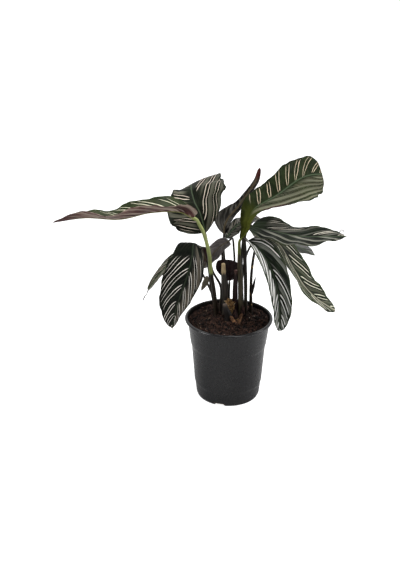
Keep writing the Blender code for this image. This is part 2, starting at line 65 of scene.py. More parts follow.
def between(values, stations, places=None):
    # numbers or vectors at evenly spread or given places, read at any array of stations
    table = np.atleast_1d(np.asarray(values, float))
    if len(table) == 1:
        table = np.repeat(table, 2, axis=0)
    if places is None:
        places = np.linspace(0, 1, len(table))
    if table.ndim == 1:
        return np.interp(stations, places, table)
    return np.stack([np.interp(stations, places, axis) for axis in table.T], axis=-1)


def smoothPath(points, stations):
    # Catmull-Rom curve through points given in millimetres, read at shares of its length
    knots = np.asarray(points, float) / 1000
    knots = np.vstack([2 * knots[0] - knots[1], knots, 2 * knots[-1] - knots[-2]])
    share = np.linspace(0, 1, 24, endpoint=False)[:, None]
    spans = []
    for before, start, end, after in zip(knots, knots[1:], knots[2:], knots[3:]):
        spans.append(0.5 * (2 * start + (end - before) * share
                            + (2 * before - 5 * start + 4 * end - after) * share ** 2
                            + (3 * start - before - 3 * end + after) * share ** 3))
    dense = np.vstack(spans + [knots[-2][None]])
    steps = np.linalg.norm(np.diff(dense, axis=0), axis=1)
    along = np.r_[0, np.cumsum(steps)] / steps.sum()
    return between(dense, stations, along), steps.sum()


def smoothWidths(widths, stations):
    # monotone cubic through widths at cosine-spaced stations
    values = np.asarray(widths, float)
    places = (1 - np.cos(np.pi * np.arange(len(values)) / (len(values) - 1))) / 2
    slopes = np.diff(values) / np.diff(places)
    before, after = slopes[:-1], slopes[1:]
    steady = before * after > 0
    mean = np.where(steady, 2 * before * after / np.where(steady, before + after, 1), 0)
    tangents = np.r_[1.5 * slopes[0], mean, slopes[-1]]
    index = np.clip(np.searchsorted(places, stations, side="right") - 1, 0, len(values) - 2)
    step, climb = places[index + 1] - places[index], values[index + 1] - values[index]
    share = (stations - places[index]) / step
    leave, arrive = step * tangents[index], step * tangents[index + 1]
    return values[index] + share * (leave + share * (
        3 * climb - 2 * leave - arrive + share * (leave + arrive - 2 * climb)))


def softNoise(x, y, seed, octaves=3, lattice=64):
    # random heights on a lattice, blended smoothly; each octave is twice as fine and half as high
    total = np.zeros(np.broadcast(x, y).shape)
    for octave in range(octaves):
        table = np.random.default_rng(seed + octave).uniform(-1, 1, (lattice, lattice))
        gx, gy = x * 2 ** octave, y * 2 ** octave
        ix, iy = np.floor(gx).astype(int), np.floor(gy).astype(int)
        fx, fy = [part * part * (3 - 2 * part) for part in (gx - ix, gy - iy)]
        low, high = [table[ix % lattice, row % lattice] * (1 - fx)
                     + table[(ix + 1) % lattice, row % lattice] * fx for row in (iy, iy + 1)]
        total += 0.5 ** octave * (low * (1 - fy) + high * fy)
    return total


def gridFaces(rows, columns, first=0, wrap=False, flip=False):
    # quads of a grid of points, closed round its columns where wrap is set
    row = np.arange(rows - 1)[:, None]
    column = np.arange(columns if wrap else columns - 1)[None, :]
    after = (column + 1) % columns
    quads = np.stack([row * columns + column, (row + 1) * columns + column,
                      (row + 1) * columns + after, row * columns + after], axis=-1).reshape(-1, 4)
    return first + (quads[:, ::-1] if flip else quads)


def closedRings(rings, ends, flip=False):
    # stacked rings of points, with a fan of triangles to one point at each end
    rows, sides = rings.shape[:2]
    first = np.arange(sides)
    after, last, count = (first + 1) % sides, (rows - 1) * sides, rows * sides
    start = np.stack([first, after, 0 * first + count], axis=1)
    end = np.stack([last + after, last + first, 0 * first + count + 1], axis=1)
    faces = [gridFaces(rows, sides, wrap=True), start, end]
    points = np.concatenate([rings.reshape(-1, 3), ends])
    return points, [block[:, ::-1] if flip else block for block in faces]


def closedSheet(middle, relief, above, below):
    # a thin sheet: a grid of points moved along its normals by its relief and then to each side,
    # the lower grid turned over, and a strip round the edge
    rows, columns = middle.shape[:2]
    count = rows * columns
    normal = unit(np.cross(np.gradient(middle, axis=0), np.gradient(middle, axis=1)))
    points = [(middle + normal * (relief + away)[..., None]).reshape(-1, 3) for away in (above, below)]
    rim = np.r_[np.arange(rows - 1) * columns, (rows - 1) * columns + np.arange(columns - 1),
                (np.arange(rows - 1, 0, -1) + 1) * columns - 1, np.arange(columns - 1, 0, -1)]
    after = np.roll(rim, -1)
    edge = np.stack([after, rim, rim + count, after + count], axis=1)
    faces = [gridFaces(rows, columns), gridFaces(rows, columns, count, flip=True), edge]
    return np.concatenate(points), faces


def makeMesh(name, points, faces, materials, faceMaterials=None, attributes={}):
    # faces is a list of arrays, each of polygons with the same number of corners
    mesh = bpy.data.meshes.new(name)
    mesh.from_pydata(points, [], [face for block in faces for face in block.tolist()], shade_flat=False)
    if faceMaterials is not None:
        mesh.polygons.foreach_set("material_index", np.asarray(faceMaterials, np.int32))
    for material in materials:
        mesh.materials.append(material)
    for key, values in attributes.items():
        mesh.attributes.new(key, "FLOAT", "POINT").data.foreach_set("value", np.asarray(values, np.float32))
    mesh.validate()
    return placeObject(name, mesh)


def placeObject(name, data, place=(0, 0, 0), turn=(0, 0, 0)):
    made = bpy.data.objects.new(name, data)
    made.location, made.rotation_euler = place, turn
    scene.collection.objects.link(made)
    return made


def settle(piece, slot, *nodes):
    # every piece rides the one body; small extras stand for no node
    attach(piece, "root")
    if nodes:
        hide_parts(*nodes)


class Wire:
    # a node's output, written in sums as if it were a number
    def __init__(self, socket):
        self.socket, self.tree = socket, socket.id_data

    def maths(self, operation, *others):
        return addNode(self.tree, "Math", dict(enumerate((self, *others))), operation=operation)

    def __add__(self, other):
        return self.maths("ADD", other)

    def __sub__(self, other):
        return self.maths("SUBTRACT", other)

    def __mul__(self, other):
        return self.maths("MULTIPLY", other)

    def __truediv__(self, other):
        return self.maths("DIVIDE", other)

    def __abs__(self):
        return self.maths("ABSOLUTE")


def feed(socket, value):
    # a wire is linked to the socket, a number or colour is set on it; colours are in thousandths
    if isinstance(value, Wire):
        value.tree.links.new(value.socket, socket)
    elif socket.type == "RGBA":
        socket.default_value = (*np.divide(value, 1000), 1.0)
    else:
        socket.default_value = value


def addNode(tree, kind, inputs={}, output=0, **settings):
    # a new node with its settings made and its inputs fed, given as one of its outputs
    node = tree.nodes.new("ShaderNode" + kind)
    for key, value in settings.items():
        setattr(node, key, value)
    for key, value in inputs.items():
        feed(node.inputs[key], value)
    return Wire(node.outputs[output])


def split(vector, kind="SeparateXYZ"):
    # the three parts of a vector or colour
    node = addNode(vector.tree, kind, {0: vector}).socket.node
    return [Wire(socket) for socket in node.outputs]


def combine(*parts):
    return addNode(parts[0].tree, "CombineXYZ", dict(enumerate(parts)))


def fade(value, low, high, lowTo=0.0, highTo=1.0):
    # smooth step from lowTo to highTo as value goes from low to high
    inputs = {"Value": value, "From Min": low, "From Max": high, "To Min": lowTo, "To Max": highTo}
    return addNode(value.tree, "MapRange", inputs, "Result", interpolation_type="SMOOTHSTEP")


def blend(share, first, second):
    # the first colour where share is 0, the second where it is 1
    return addNode(share.tree, "Mix", {"Factor": share, "A": first, "B": second}, "Result", data_type="RGBA")


def noise(vector, scale, detail=2.0, roughness=0.5):
    inputs = {"Vector": vector, "Scale": scale, "Detail": detail, "Roughness": roughness}
    return addNode(vector.tree, "TexNoise", inputs, "Fac")


def objectPlace(tree):
    return addNode(tree, "TexCoord", output="Object")


def attributes(tree, *names):
    return [addNode(tree, "Attribute", output="Fac", attribute_name=name) for name in names]


def newMaterial(name, roughness, specular=0.5):
    made = bpy.data.materials.new(name)
    made.use_nodes = True
    shader = made.node_tree.nodes["Principled BSDF"].inputs
    feed(shader["Roughness"], roughness)
    feed(shader["Specular IOR Level"], specular)
    return made, made.node_tree, shader


def finish(shader, colour, height, strength, distance):
    # colour and bump of a material; distance is how high the bumps would be at full strength
    feed(shader["Base Color"], colour)
    inputs = {"Strength": strength, "Distance": distance, "Height": height}
    feed(shader["Normal"], addNode(height.tree, "Bump", inputs, "Normal"))


def makePinstripes():
    # Lines: a pair of thin lines along the side veins in each cell of the vein coordinate.
    # Bands: one broad band between two pairs, which carries a painted sheen. Fine: faint close lines that
    # run the same way.
    group = bpy.data.node_groups.new("pinstripes", "ShaderNodeTree")
    sockets = ("Vein", "Across", "Pitch", "Gap", "Line", "Start", "Reach", "Band", "Chance", "Seed")
    for way, keys in (("INPUT", sockets), ("OUTPUT", ("Lines", "Bands", "Fine"))):
        for key in keys:
            group.interface.new_socket(key, in_out=way, socket_type="NodeSocketFloat")
    given = group.nodes.new("NodeGroupInput").outputs
    out = group.nodes.new("NodeGroupOutput").inputs
    wires = [Wire(given[key]) for key in sockets]
    vein, across, pitch, gap, thick, start, stop, bandFrom, chance, seed = wires
    reach, side = abs(across), across.maths("GREATER_THAN", 0.0)
    wobble = noise(combine(vein * 110.0, across * 2.0, seed), 1.0) - 0.5
    cells = (wobble * (pitch * 0.22) + vein) / pitch + (side * 0.37 + seed)
    cell = cells.maths("FLOOR")
    dice = addNode(group, "TexWhiteNoise", {"Vector": combine(cell, side, seed)}, "Color")
    one, two, three = split(dice, "SeparateColor")
    fromMiddle = abs(cells - cell - 0.5 - (one * 0.22 - 0.11))
    fromLine = abs(fromMiddle * pitch - (fade(reach, 0.0, 0.45) * 0.26 + 0.24) * gap)
    begin, end = two * 0.10 + start, three * -0.14 + stop
    swell = fade(reach, begin, begin + 0.14) * fade(reach, end - 0.22, end, 1.0, 0.0)
    width = (two * 0.5 + 0.70) * thick * (swell * 0.7 + 0.3)
    line = fade(fromLine, width * 0.35, width, 1.0, 0.0) * one.maths("LESS_THAN", chance)
    feed(out["Lines"], line * fade(swell, 0.0, 0.3))
    streak = noise(combine(vein * 800.0, across * 2.2, side * 7.0 + seed), 1.0, 3.0, 0.6)
    band = fade(fromMiddle, bandFrom, bandFrom + 0.06) * (three * 0.45 + 0.55)
    feed(out["Bands"], band * fade(streak, 0.25, 0.60, 0.45, 1.0))
    feed(out["Fine"], streak)
    return group


pinstripes = makePinstripes()


def leafUpper(name, look):
    # from below: ground, painted sheen, midrib, pairs of lines, base with painted shade on one half, a hem
    # on the right edge, margin
    made, tree, shader = newMaterial("upper_" + name, 0.4, look["specular"])
    vein, across, along, ribDistance, paintedSheenShare, lined = attributes(
        tree, "vein", "across", "along", "ribDistance", "paintedSheen", "lined")
    inputs = {key.capitalize(): look[key] for key in
              ("pitch", "gap", "line", "start", "reach", "band", "chance", "seed")}
    inputs.update(Vein=vein, Across=across)
    stripes = addNode(tree, "Group", inputs, node_tree=pinstripes).socket.node
    lines, bands, fine = [Wire(socket) for socket in stripes.outputs]
    place, reach = objectPlace(tree), abs(across)
    mottle = noise(place, 60.0, 4.0, 0.6)
    ground = blend(fade(mottle, 0.35, 0.7), *look["ground"])
    # painted sheen: faint streaks, then broad bands, blend the ground towards a pale grey sheen colour
    ground = blend(fade(fine, 0.5, 0.75, 0.0, 0.12), ground, look["paintedSheen"])
    paintedSheen = bands * paintedSheenShare * fade(reach, *look["paintedSheenFrom"]) * fade(reach, 0.90, 1.0, 1.0, 0.2)
    ground = blend(paintedSheen, ground, look["paintedSheen"])
    rib = fade(ribDistance, 0.0004, look["ribWidth"], 1.0, 0.0) * look["ribShare"]
    ground = blend(rib, ground, look["ribColour"])
    shown = lines * fade(along, *look["linesFrom"]) * lined
    colour = blend(shown * look["lineShare"], ground, blend(noise(place, 45.0), *look["lineTones"]))
    if look["baseColour"]:
        # painted shade: on the blade's base the left half is darkened, in blotches, down to a quarter of the
        # base colour
        shade = fade(mottle, 0.35, 0.6, 0.6, 1.0) * fade(across, 0.25, 0.75)
        tone = blend(shade, look["baseColour"], np.multiply(look["baseColour"], 0.25))
        colour = blend(fade(along, *look["baseUntil"], 1.0, 0.0), colour, tone)
    if look["hem"]:
        low, high, tone = look["hem"]
        span = fade(along, low, low + 0.04) * fade(along, high - 0.10, high, 1.0, 0.0)
        colour = blend(span * fade(across, -0.86, -0.80, 1.0, 0.0), colour, tone)
    margin = fade(mottle * 0.03 + reach, look["marginFrom"], 1.0) * 0.85
    colour = blend(margin, colour, look["margin"])
    feed(shader["Roughness"], shown * 0.08 + (noise(place, 300.0) * 0.18 + (look["roughness"] - 0.09)))
    finish(shader, colour, noise(place, 900.0) * 0.3 + fine, 0.5, 0.0004)
    return made


def leafUnder(name, look):
    # mottled ground, paler streaks along the side veins, midrib, tip; on left_long the pale streaks are also
    # a painted highlight
    made, tree, shader = newMaterial("under_" + name, 0.5, look["specular"])
    vein, across, along, ribDistance = attributes(tree, "vein", "across", "along", "ribDistance")
    mottle = noise(objectPlace(tree), 40.0, 4.0, 0.6)
    streak = noise(combine(vein * 260.0, across * 1.2, look["seed"]), 1.0, 3.0)
    dark, main, pale = look["underTones"]
    colour = blend(fade(mottle, 0.3, 0.7), dark, main)
    colour = blend(fade(streak, 0.4, 0.68) * look["underStreak"], colour, pale)
    colour = blend(fade(ribDistance, 0.0010, 0.0022, 1.0, 0.0) * 0.8, colour, look["underRib"])
    if look["underTip"]:
        colour = blend(fade(along, 0.80, 0.90), colour, look["underTip"])
    fine = (vein * (2 * math.pi / 0.0016)).maths("SINE")
    finish(shader, colour, fine * 0.6 + mottle, 0.3, 0.0003)
    return made


leafDefaults = dict(
    rows=201, columns=61, thickness=0.0004, corrugation=0.00016, ruffle=0.0010, ruffleLength=0.012,
    ribHeight=0.0012, ridgeWidth=0.0013, grooveDepth=0.0003, grooveWidth=0.0010, narrow=(0.012, 0.006),
    scallop=0.035, scallopLength=0.011, wave=[0, 0, 0], bow=0.1,
    lean=[0, 0.3], sweep=[0.8, 0.6], tipSweep=0.0,
    pitch=0.0095, pitchRight=None, gap=0.0034, line=0.00065, start=0.07, reach=0.97,
    band=0.27, chance=0.92, lined=1.0, linesFrom=(0.02, 0.08), lineShare=0.95,
    # the sheen colour, its share on each half and where it begins paint the leaf's satin sheen into its
    # colour
    paintedSheenShare=0.25, paintedSheenFrom=(0.15, 0.45), specular=0.18, roughness=0.40,
    ground=((4, 6, 3), (13, 19, 9)), paintedSheen=(160, 155, 120),
    lineTones=((620, 500, 400), (720, 640, 520)), ribWidth=0.0014, ribShare=0.6,
    ribColour=(70, 100, 55), margin=(10, 14, 6), marginFrom=0.965,
    baseColour=None, baseUntil=(0.08, 0.16), hem=None,
    underTones=((24, 13, 14), (60, 30, 32), (150, 105, 105)),
    underStreak=0.35, underRib=(90, 70, 40), underTip=None)

# Paths, feet, radii, widths and wave heights are in millimetres and angles in degrees; a wave is
# height, count and phase. A tuple of two holds the left and the right half, and anything else counts
# for both.
leaves = dict(
    left_long=dict(
        rib=[(-56, -70, 327), (-77, -74, 338), (-117, -84, 340), (-159, -92, 333), (-207, -98, 337),
             (-253, -100, 331)], face=[(0, 0.17, 0.98)],
        widths=([2, 20, 31, 34, 33, 27, 17, 9, 0.6], [2, 18, 28, 32, 29, 20, 9, 3, 0.6]),
        rise=([28, 25, 24, 26], [34, 34, 24, 6]), wave=([4, 2.65, 0.14], [2.5, 3.6, 0.6]), lean=[-0.2, 0.3],
        sweep=([0.8, 0.6], [1, 0.6]), tipSweep=0.8, seed=1.3, pitch=0.0165, gap=0.0052, line=0.0008, start=0,
        reach=1.02, chance=0.75, paintedSheenShare=(0, 0.3), specular=0.06, ground=((7, 12, 4), (18, 29, 8)),
        paintedSheen=(85, 90, 50), lineTones=((600, 580, 420), (700, 660, 500)),
        # the pale, strong under streaks are the vein streaks and a painted highlight on the near half
        underTones=((32, 12, 12), (110, 42, 38), (460, 370, 300)), underStreak=0.85, underTip=(75, 30, 28),
        underRib=(200, 210, 70), margin=(50, 70, 20)),
    upper_left=dict(
        rib=[(-38, -25, 288), (-41, -23, 301), (-46, -17, 317), (-54, -6, 330), (-59, 14, 343),
             (-59, 45, 342), (-57, 75, 322), (-57, 96, 290)],
        face=[(0, -0.85, 0.5), (0, -0.7, 0.7), (-0.1, 0, 1), (0, 0.7, 0.6)],
        widths=([2, 26, 46, 40, 24, 20, 18, 9, 0.6], [2, 9, 29, 52, 48, 40, 28, 12, 0.6]),
        rise=([5, 0, -30, -20], [5, 20, 29, 14]), bow=([-10, -20], [0, -30, -60]),
        wave=([2, 3, 0], [3, 4, 0]), lean=[-0.1, 0.3], sweep=([0.3, 0.2], [1.5, 0.9]), scallop=0.05,
        ruffle=0.0026, seed=2.1, pitch=0.0165, pitchRight=0.0155, gap=0.0052, line=0.00062, start=0.02,
        reach=1.02, band=0.31, paintedSheenShare=0.6, specular=0.06, ground=((3, 4, 2), (9, 13, 6)),
        paintedSheen=(180, 175, 130), lineTones=((620, 530, 430), (660, 570, 480))),
    lower_left=dict(
        rib=[(-36, 0, 232), (-45, -14, 258), (-55, -28, 272), (-58, -44, 255), (-65, -54, 230),
             (-75, -57, 200), (-83, -54, 173), (-89, -46, 138)],
        face=[(-0.6, 0.3, 0.6), (-0.2, -0.5, 0.9), (0.1, -0.95, 0.2), (0.1, -0.95, 0.2)],
        widths=([2, 7, 11, 17, 24, 18, 10, 4, 0.6], [2, 8, 14, 27, 35, 31, 19, 8, 0.6]),
        rise=([-30, -35, 0, 10], [0, 5, 5, 10]), wave=[2, 3, 0], sweep=([1.8, 1], [0.9, 0.9]), tipSweep=0.6,
        seed=3.7, pitchRight=0.0125, gap=0.0036, line=0.00046, start=0, reach=1.04, linesFrom=(0.36, 0.42),
        paintedSheenShare=(0.8, 0), specular=0.08, ground=((3, 4, 3), (6, 9, 5)), paintedSheen=(150, 130, 100),
        lineTones=((900, 840, 760), (900, 840, 760)), ribShare=0.25),
    back_left=dict(
        rib=[(-59, 46, 211), (-78, 54, 217), (-98, 54, 202), (-117, 50, 181), (-131, 44, 162)],
        face=[(0, -0.3, 0.95), (0, -0.5, 0.8)],
        widths=([2, 5, 9, 10, 9, 7, 5, 3, 0.6], [2, 6, 10, 11, 9, 7, 5, 3, 0.6]), rise=20, sweep=[2.8, 1.4],
        seed=4.2, pitch=0.008, gap=0.002, band=0.33, lined=0.3, paintedSheenShare=1,
        ground=((12, 14, 7), (30, 34, 18)), paintedSheen=(260, 255, 205)),
    middle=dict(
        rib=[(-8, 42, 261), (-7, 43, 274), (0, 50, 286), (14, 60, 299), (28, 68, 317), (42, 72, 338),
             (48, 72, 360)], face=[(0.2, 0.9, 0.2), (0.3, 0.9, 0.5)],
        widths=([2, 8, 10, 10, 8, 7, 5, 3, 0.6], [2, 12, 22, 14, 7, 5, 4, 3, 0.6]), rise=30, seed=5.1,
        specular=0.06, underTones=((3, 2, 2), (13, 12, 10), (110, 104, 90)), underStreak=0.85,
        underTip=(60, 16, 13)),
    inner_left=dict(
        rib=[(0, 32, 253), (-16, 32, 242), (-29, 30, 226), (-43, 26, 209)], face=[(-0.3, 0.9, 0.3)],
        widths=[2, 10, 13, 14, 14, 12, 10, 5, 0.6], rise=5, seed=6.4,
        underTones=((60, 50, 51), (175, 152, 150), (340, 320, 300)), underStreak=0.6),
    back=dict(
        rib=[(-4, 60, 247), (9, 70, 260), (23, 76, 269), (41, 80, 272), (56, 80, 269)],
        face=[(0, -0.3, 0.9)], widths=[2, 8, 12, 12, 12, 11, 8, 4, 0.6], rise=0, wave=[3, 3, 0], seed=7.7,
        pitch=0.0075, lined=0.25, paintedSheenShare=0.8, paintedSheen=(120, 115, 100)),
    upper_right=dict(
        rib=[(16.5, -12, 273), (23, -16, 290), (26, -21, 307), (37, -21, 326), (70, 0, 339), (102, 25, 354),
             (122, 42, 357), (145, 62, 353)],
        face=[(-0.2, -0.9, 0.3), (0.1, -0.75, 0.6), (0.2, -0.75, 0.62), (0.2, -0.75, 0.62)],
        widths=([2, 6, 10, 22, 27, 31, 32, 19, 0.6], [2, 5, 8, 13, 27, 38, 33, 16, 0.6]),
        rise=([50, 5, 5, 5, 5], [50, 30, 20, 0, -10]), wave=([3, 2.6, 0.5], [3, 2.3, 0]),
        sweep=([0.5, 0], [1.6, 0.9]), tipSweep=1.6, scallop=0.05, seed=8.3, pitch=0.016, pitchRight=0.011,
        gap=0.005, line=0.00052, start=-0.02, reach=1.06, band=0.24, chance=1, lined=(1, 0.22),
        linesFrom=(0.28, 0.31), paintedSheenShare=(0, 0.9), paintedSheenFrom=(0.03, 0.25), specular=0.03,
        ground=((6, 10, 3), (15, 23, 8)), paintedSheen=(175, 172, 118),
        lineTones=((720, 620, 440), (600, 460, 340)), baseColour=(75, 85, 14), baseUntil=(0.16, 0.34),
        hem=(0.3, 0.52, (40, 14, 14))),
    right=dict(
        rib=[(32.5, -3, 290.5), (59, -22, 290.5), (102, -46, 290), (136, -62, 296), (166, -76, 301)],
        face=[(0, -0.2, 0.98)],
        widths=([13, 28, 32, 31, 27, 25, 19, 8, 0.6], [5, 16, 27, 31, 33, 30, 20, 8, 0.6]),
        rise=([8, 0, 0], 5), wave=([4, 2, 0], [3, 4, 0]), sweep=([1.6, 0.8], [2.4, 1.2]), seed=9.6,
        pitch=0.015, pitchRight=0.0125, gap=0.0046, line=0.00075, band=0.3, chance=0.9, lined=(1, 0),
        paintedSheenShare=(0.4, 1), paintedSheenFrom=(0, 0.12), specular=0.04, ground=((1, 2, 1), (5, 9, 4)),
        paintedSheen=(220, 220, 180), lineTones=((720, 700, 600), (720, 640, 520)), margin=(35, 48, 20),
        marginFrom=0.92, baseColour=(16, 24, 11), baseUntil=(0.1, 0.18)),
    right_drooping=dict(
        rib=[(52, -2, 274), (75, -12, 263), (96, -22, 230), (115, -26, 200), (138, -24, 176),
             (167, -16, 154)], face=[(0.5, -0.5, 0.7), (0.5, -0.6, 0.6)],
        widths=([2, 16, 24, 26, 26, 22, 14, 6, 0.6], [2, 13, 20, 22, 20, 17, 14, 7, 0.6]), rise=(10, 25),
        wave=[2, 3, 0], sweep=([1.8, 0.9], [3, 1.6]), seed=10.9, pitch=0.0135, pitchRight=0.015, gap=0.005,
        line=0.0008, band=0.36, chance=0.9, paintedSheenShare=(0.45, 0.5), paintedSheenFrom=(0.02, 0.2), specular=0.07,
        ground=((3, 5, 2), (11, 20, 7)), paintedSheen=(170, 175, 115),
        lineTones=((740, 730, 580), (660, 650, 500)), margin=(36, 56, 18), marginFrom=0.86,
        ribColour=(360, 340, 260), ribShare=0.85, ribWidth=0.0018),
    right_low=dict(
        rib=[(26, -21, 273), (41, -42, 269), (55, -56, 253), (66, -62, 226), (73, -62, 194), (77, -52, 136)],
        face=[(0.3, -0.4, 0.85), (0.2, -0.9, 0.3), (0.1, -0.95, 0.3)],
        widths=([2, 12, 20, 22, 22, 20, 15, 7, 0.6], [2, 17, 24, 25, 22, 17, 12, 6, 0.6]),
        rise=([35, 40], 40), wave=[2, 3, 0], sweep=[1.8, 1], seed=11.2, pitch=0.012, pitchRight=0.016,
        gap=0.005, line=0.0013, band=0.34, chance=0.9, paintedSheenShare=(0.5, 0.8), paintedSheenFrom=(0.05, 0.25),
        specular=0.14, ground=((2, 4, 2), (12, 20, 9)), paintedSheen=(420, 430, 380),
        lineTones=((900, 890, 860), (850, 840, 800)), margin=(30, 46, 20), marginFrom=0.9),
    right_behind=dict(
        rib=[(52, 40, 258), (90, 48, 245), (119, 48, 233), (138, 42, 224)], face=[(0.2, -0.4, 0.9)],
        widths=([2, 10, 14, 15, 13, 10, 8, 3, 0.6], [2, 10, 14, 17, 17, 14, 9, 3, 0.6]), rise=10,
        sweep=[2, 1], seed=12.8, band=0.04, lined=0, paintedSheenShare=(1, 0.25), paintedSheenFrom=(0, 0.1),
        paintedSheen=(240, 240, 230)),
    right_inner=dict(
        rib=[(34, 14, 276), (52, 20, 263), (73, 17, 243), (92, 12, 219)], face=[(0.3, -0.75, 0.6)],
        widths=([2, 6, 10, 14, 15, 13, 9, 4, 0.6], [2, 6, 10, 14, 16, 14, 9, 4, 0.6]), rise=10, sweep=[2, 1],
        seed=13.5, pitch=0.009, lined=0.4, paintedSheenShare=(0.6, 0.5), ground=((3, 4, 2), (10, 15, 6))),
    small_young=dict(
        rib=[(1, 19.5, 190), (1, 20.5, 203), (1, 20.5, 215), (3, 20.5, 225)], face=[(0, -0.9, 0.3)],
        widths=([2, 5, 9, 15, 20, 23, 21, 13, 2], [2, 5, 9, 13, 19, 21, 19, 11, 2]), rise=[20, 10],
        lean=[0, 0], seed=14.4, lineShare=0, paintedSheenShare=0, ground=((8, 3, 4), (18, 6, 7)),
        underTones=((24, 13, 14), (40, 14, 15), (150, 105, 105)), ribShare=0, margin=(10, 4, 5)))


def completed(defaults, given):
    # the defaults with what is given, and a pair for each half's values
    look = defaults | given
    for key in ("widths", "rise", "bow", "wave", "sweep", "lined", "paintedSheenShare"):
        look[key] = look[key] if isinstance(look[key], tuple) else (look[key], look[key])
    return look


def bladeShape(leaf, u, v):
    # Middle surface: from the midrib at u, each half runs out sideways as an arc that starts at the
    # rise angle and bows on, lifted by a sine wave that grows to the edge.
    fine = np.linspace(0, 1, 401)
    course, length = smoothPath(leaf["rib"], fine)
    ahead = unit(between(unit(np.gradient(course, axis=0)), u, fine))
    face = between(leaf["face"], u)
    up = unit(face - (face * ahead).sum(axis=-1, keepdims=True) * ahead)
    side = np.cross(up, ahead)
    left, out = v >= 0, np.abs(v)

    def halves(values):
        return np.where(left, *values)

    width = halves([smoothWidths(widths, u) / 1000 for widths in leaf["widths"]])
    shift = halves((3.0, 40.0))
    width = width * (1 + leaf["scallop"] * softNoise(
        u * length / leaf["scallopLength"] + shift, shift + 0 * u, int(leaf["seed"] * 10) + 3, 2))
    baseWidth = halves([widths[0] / 1000 for widths in leaf["widths"]])
    rise, bow = [np.radians(halves([between(turns, u) for turns in leaf[key]])) for key in ("rise", "bow")]
    bow = np.where(np.abs(bow) < 0.001, 0.001, bow)
    wave = halves([height / 1000 * np.sin(2 * np.pi * (count * u + phase))
                   for height, count, phase in leaf["wave"]]) * np.sqrt(np.sin(np.pi * u).clip(0))
    across = halves((1, -1)) * width * (np.sin(rise + bow * out) - np.sin(rise)) / bow
    lift = width * (np.cos(rise) - np.cos(rise + bow * out)) / bow + wave * out ** 2
    forward = between(leaf["lean"], u) * (width - baseWidth) * out
    points = (between(course, u, fine) + side * across[..., None] + up * lift[..., None]
              + ahead * forward[..., None])
    return points, width, u * length + forward


def makeBlade(name, given):
    # the blade's shape, corrugated between its side veins and ruffled at the edge, with a groove
    # along the midrib above and a ridge below
    leaf = completed(leafDefaults, given)
    even = np.linspace(0, 1, leaf["rows"])
    t = np.linspace(-1, 1, leaf["columns"])
    u, v = np.meshgrid((even + (1 - np.cos(np.pi * even)) / 2) / 2,
                       np.sign(t) * (1 - np.cos(np.pi * np.abs(t))) / 2, indexing="ij")
    points, width, reached = bladeShape(leaf, u, v)
    left, out = v >= 0, np.abs(v)
    first, second = [np.where(left, *pair) for pair in zip(*leaf["sweep"])]
    vein = reached - width * (first * out + second * out ** 2) * (1 + leaf["tipSweep"] * u ** 3)
    vein = vein / np.sqrt(1 + (first + second) ** 2)
    vein = vein * np.where(left, 1.0, leaf["pitch"] / (leaf["pitchRight"] or leaf["pitch"]))
    window = ramp(out, 0.15) * ramp(1 - out, 0.12) * ramp(1 - u, 0.1)
    relief = leaf["corrugation"] * np.sin(4 * np.pi * vein / leaf["pitch"]) * window
    ruffle = softNoise(reached / leaf["ruffleLength"] + np.where(left, 0.0, 9.0), out * 2,
                       int(leaf["seed"] * 10), 2)
    calm, smooth = [ramp(width, span) for span in leaf["narrow"]]
    relief = relief + leaf["ruffle"] * ruffle * out ** 2 * calm
    ribDistance = out * width
    groove = leaf["grooveDepth"] * np.exp(-(ribDistance / leaf["grooveWidth"]) ** 2) * smooth
    ridge = leaf["ribHeight"] * (1 - 0.8 * u) * np.exp(-(ribDistance / leaf["ridgeWidth"]) ** 2)
    half = leaf["thickness"] / 2
    points, faces = closedSheet(points, relief, half - groove, -half - ridge)
    # each half's share of the painted sheen is passed to the material
    values = {"vein": vein, "across": v, "along": u, "ribDistance": ribDistance,
              "paintedSheen": np.where(left, *leaf["paintedSheenShare"]), "lined": np.where(left, *leaf["lined"])}
    piece = makeMesh("blade_" + name, points, faces, [leafUpper(name, leaf), leafUnder(name, leaf)],
                     np.repeat([0, 1, 1], [len(block) for block in faces]),
                     {key: np.tile(value.ravel(), 2) for key, value in values.items()})
    maroon = ("middle", "inner_left", "small_young")
    settle(piece, "leaf_maroon" if name in maroon else "leaf_green", "leaf_" + name)


for leafName, leafLook in leaves.items():
    makeBlade(leafName, leafLook)
print("blades made:", len(leaves))

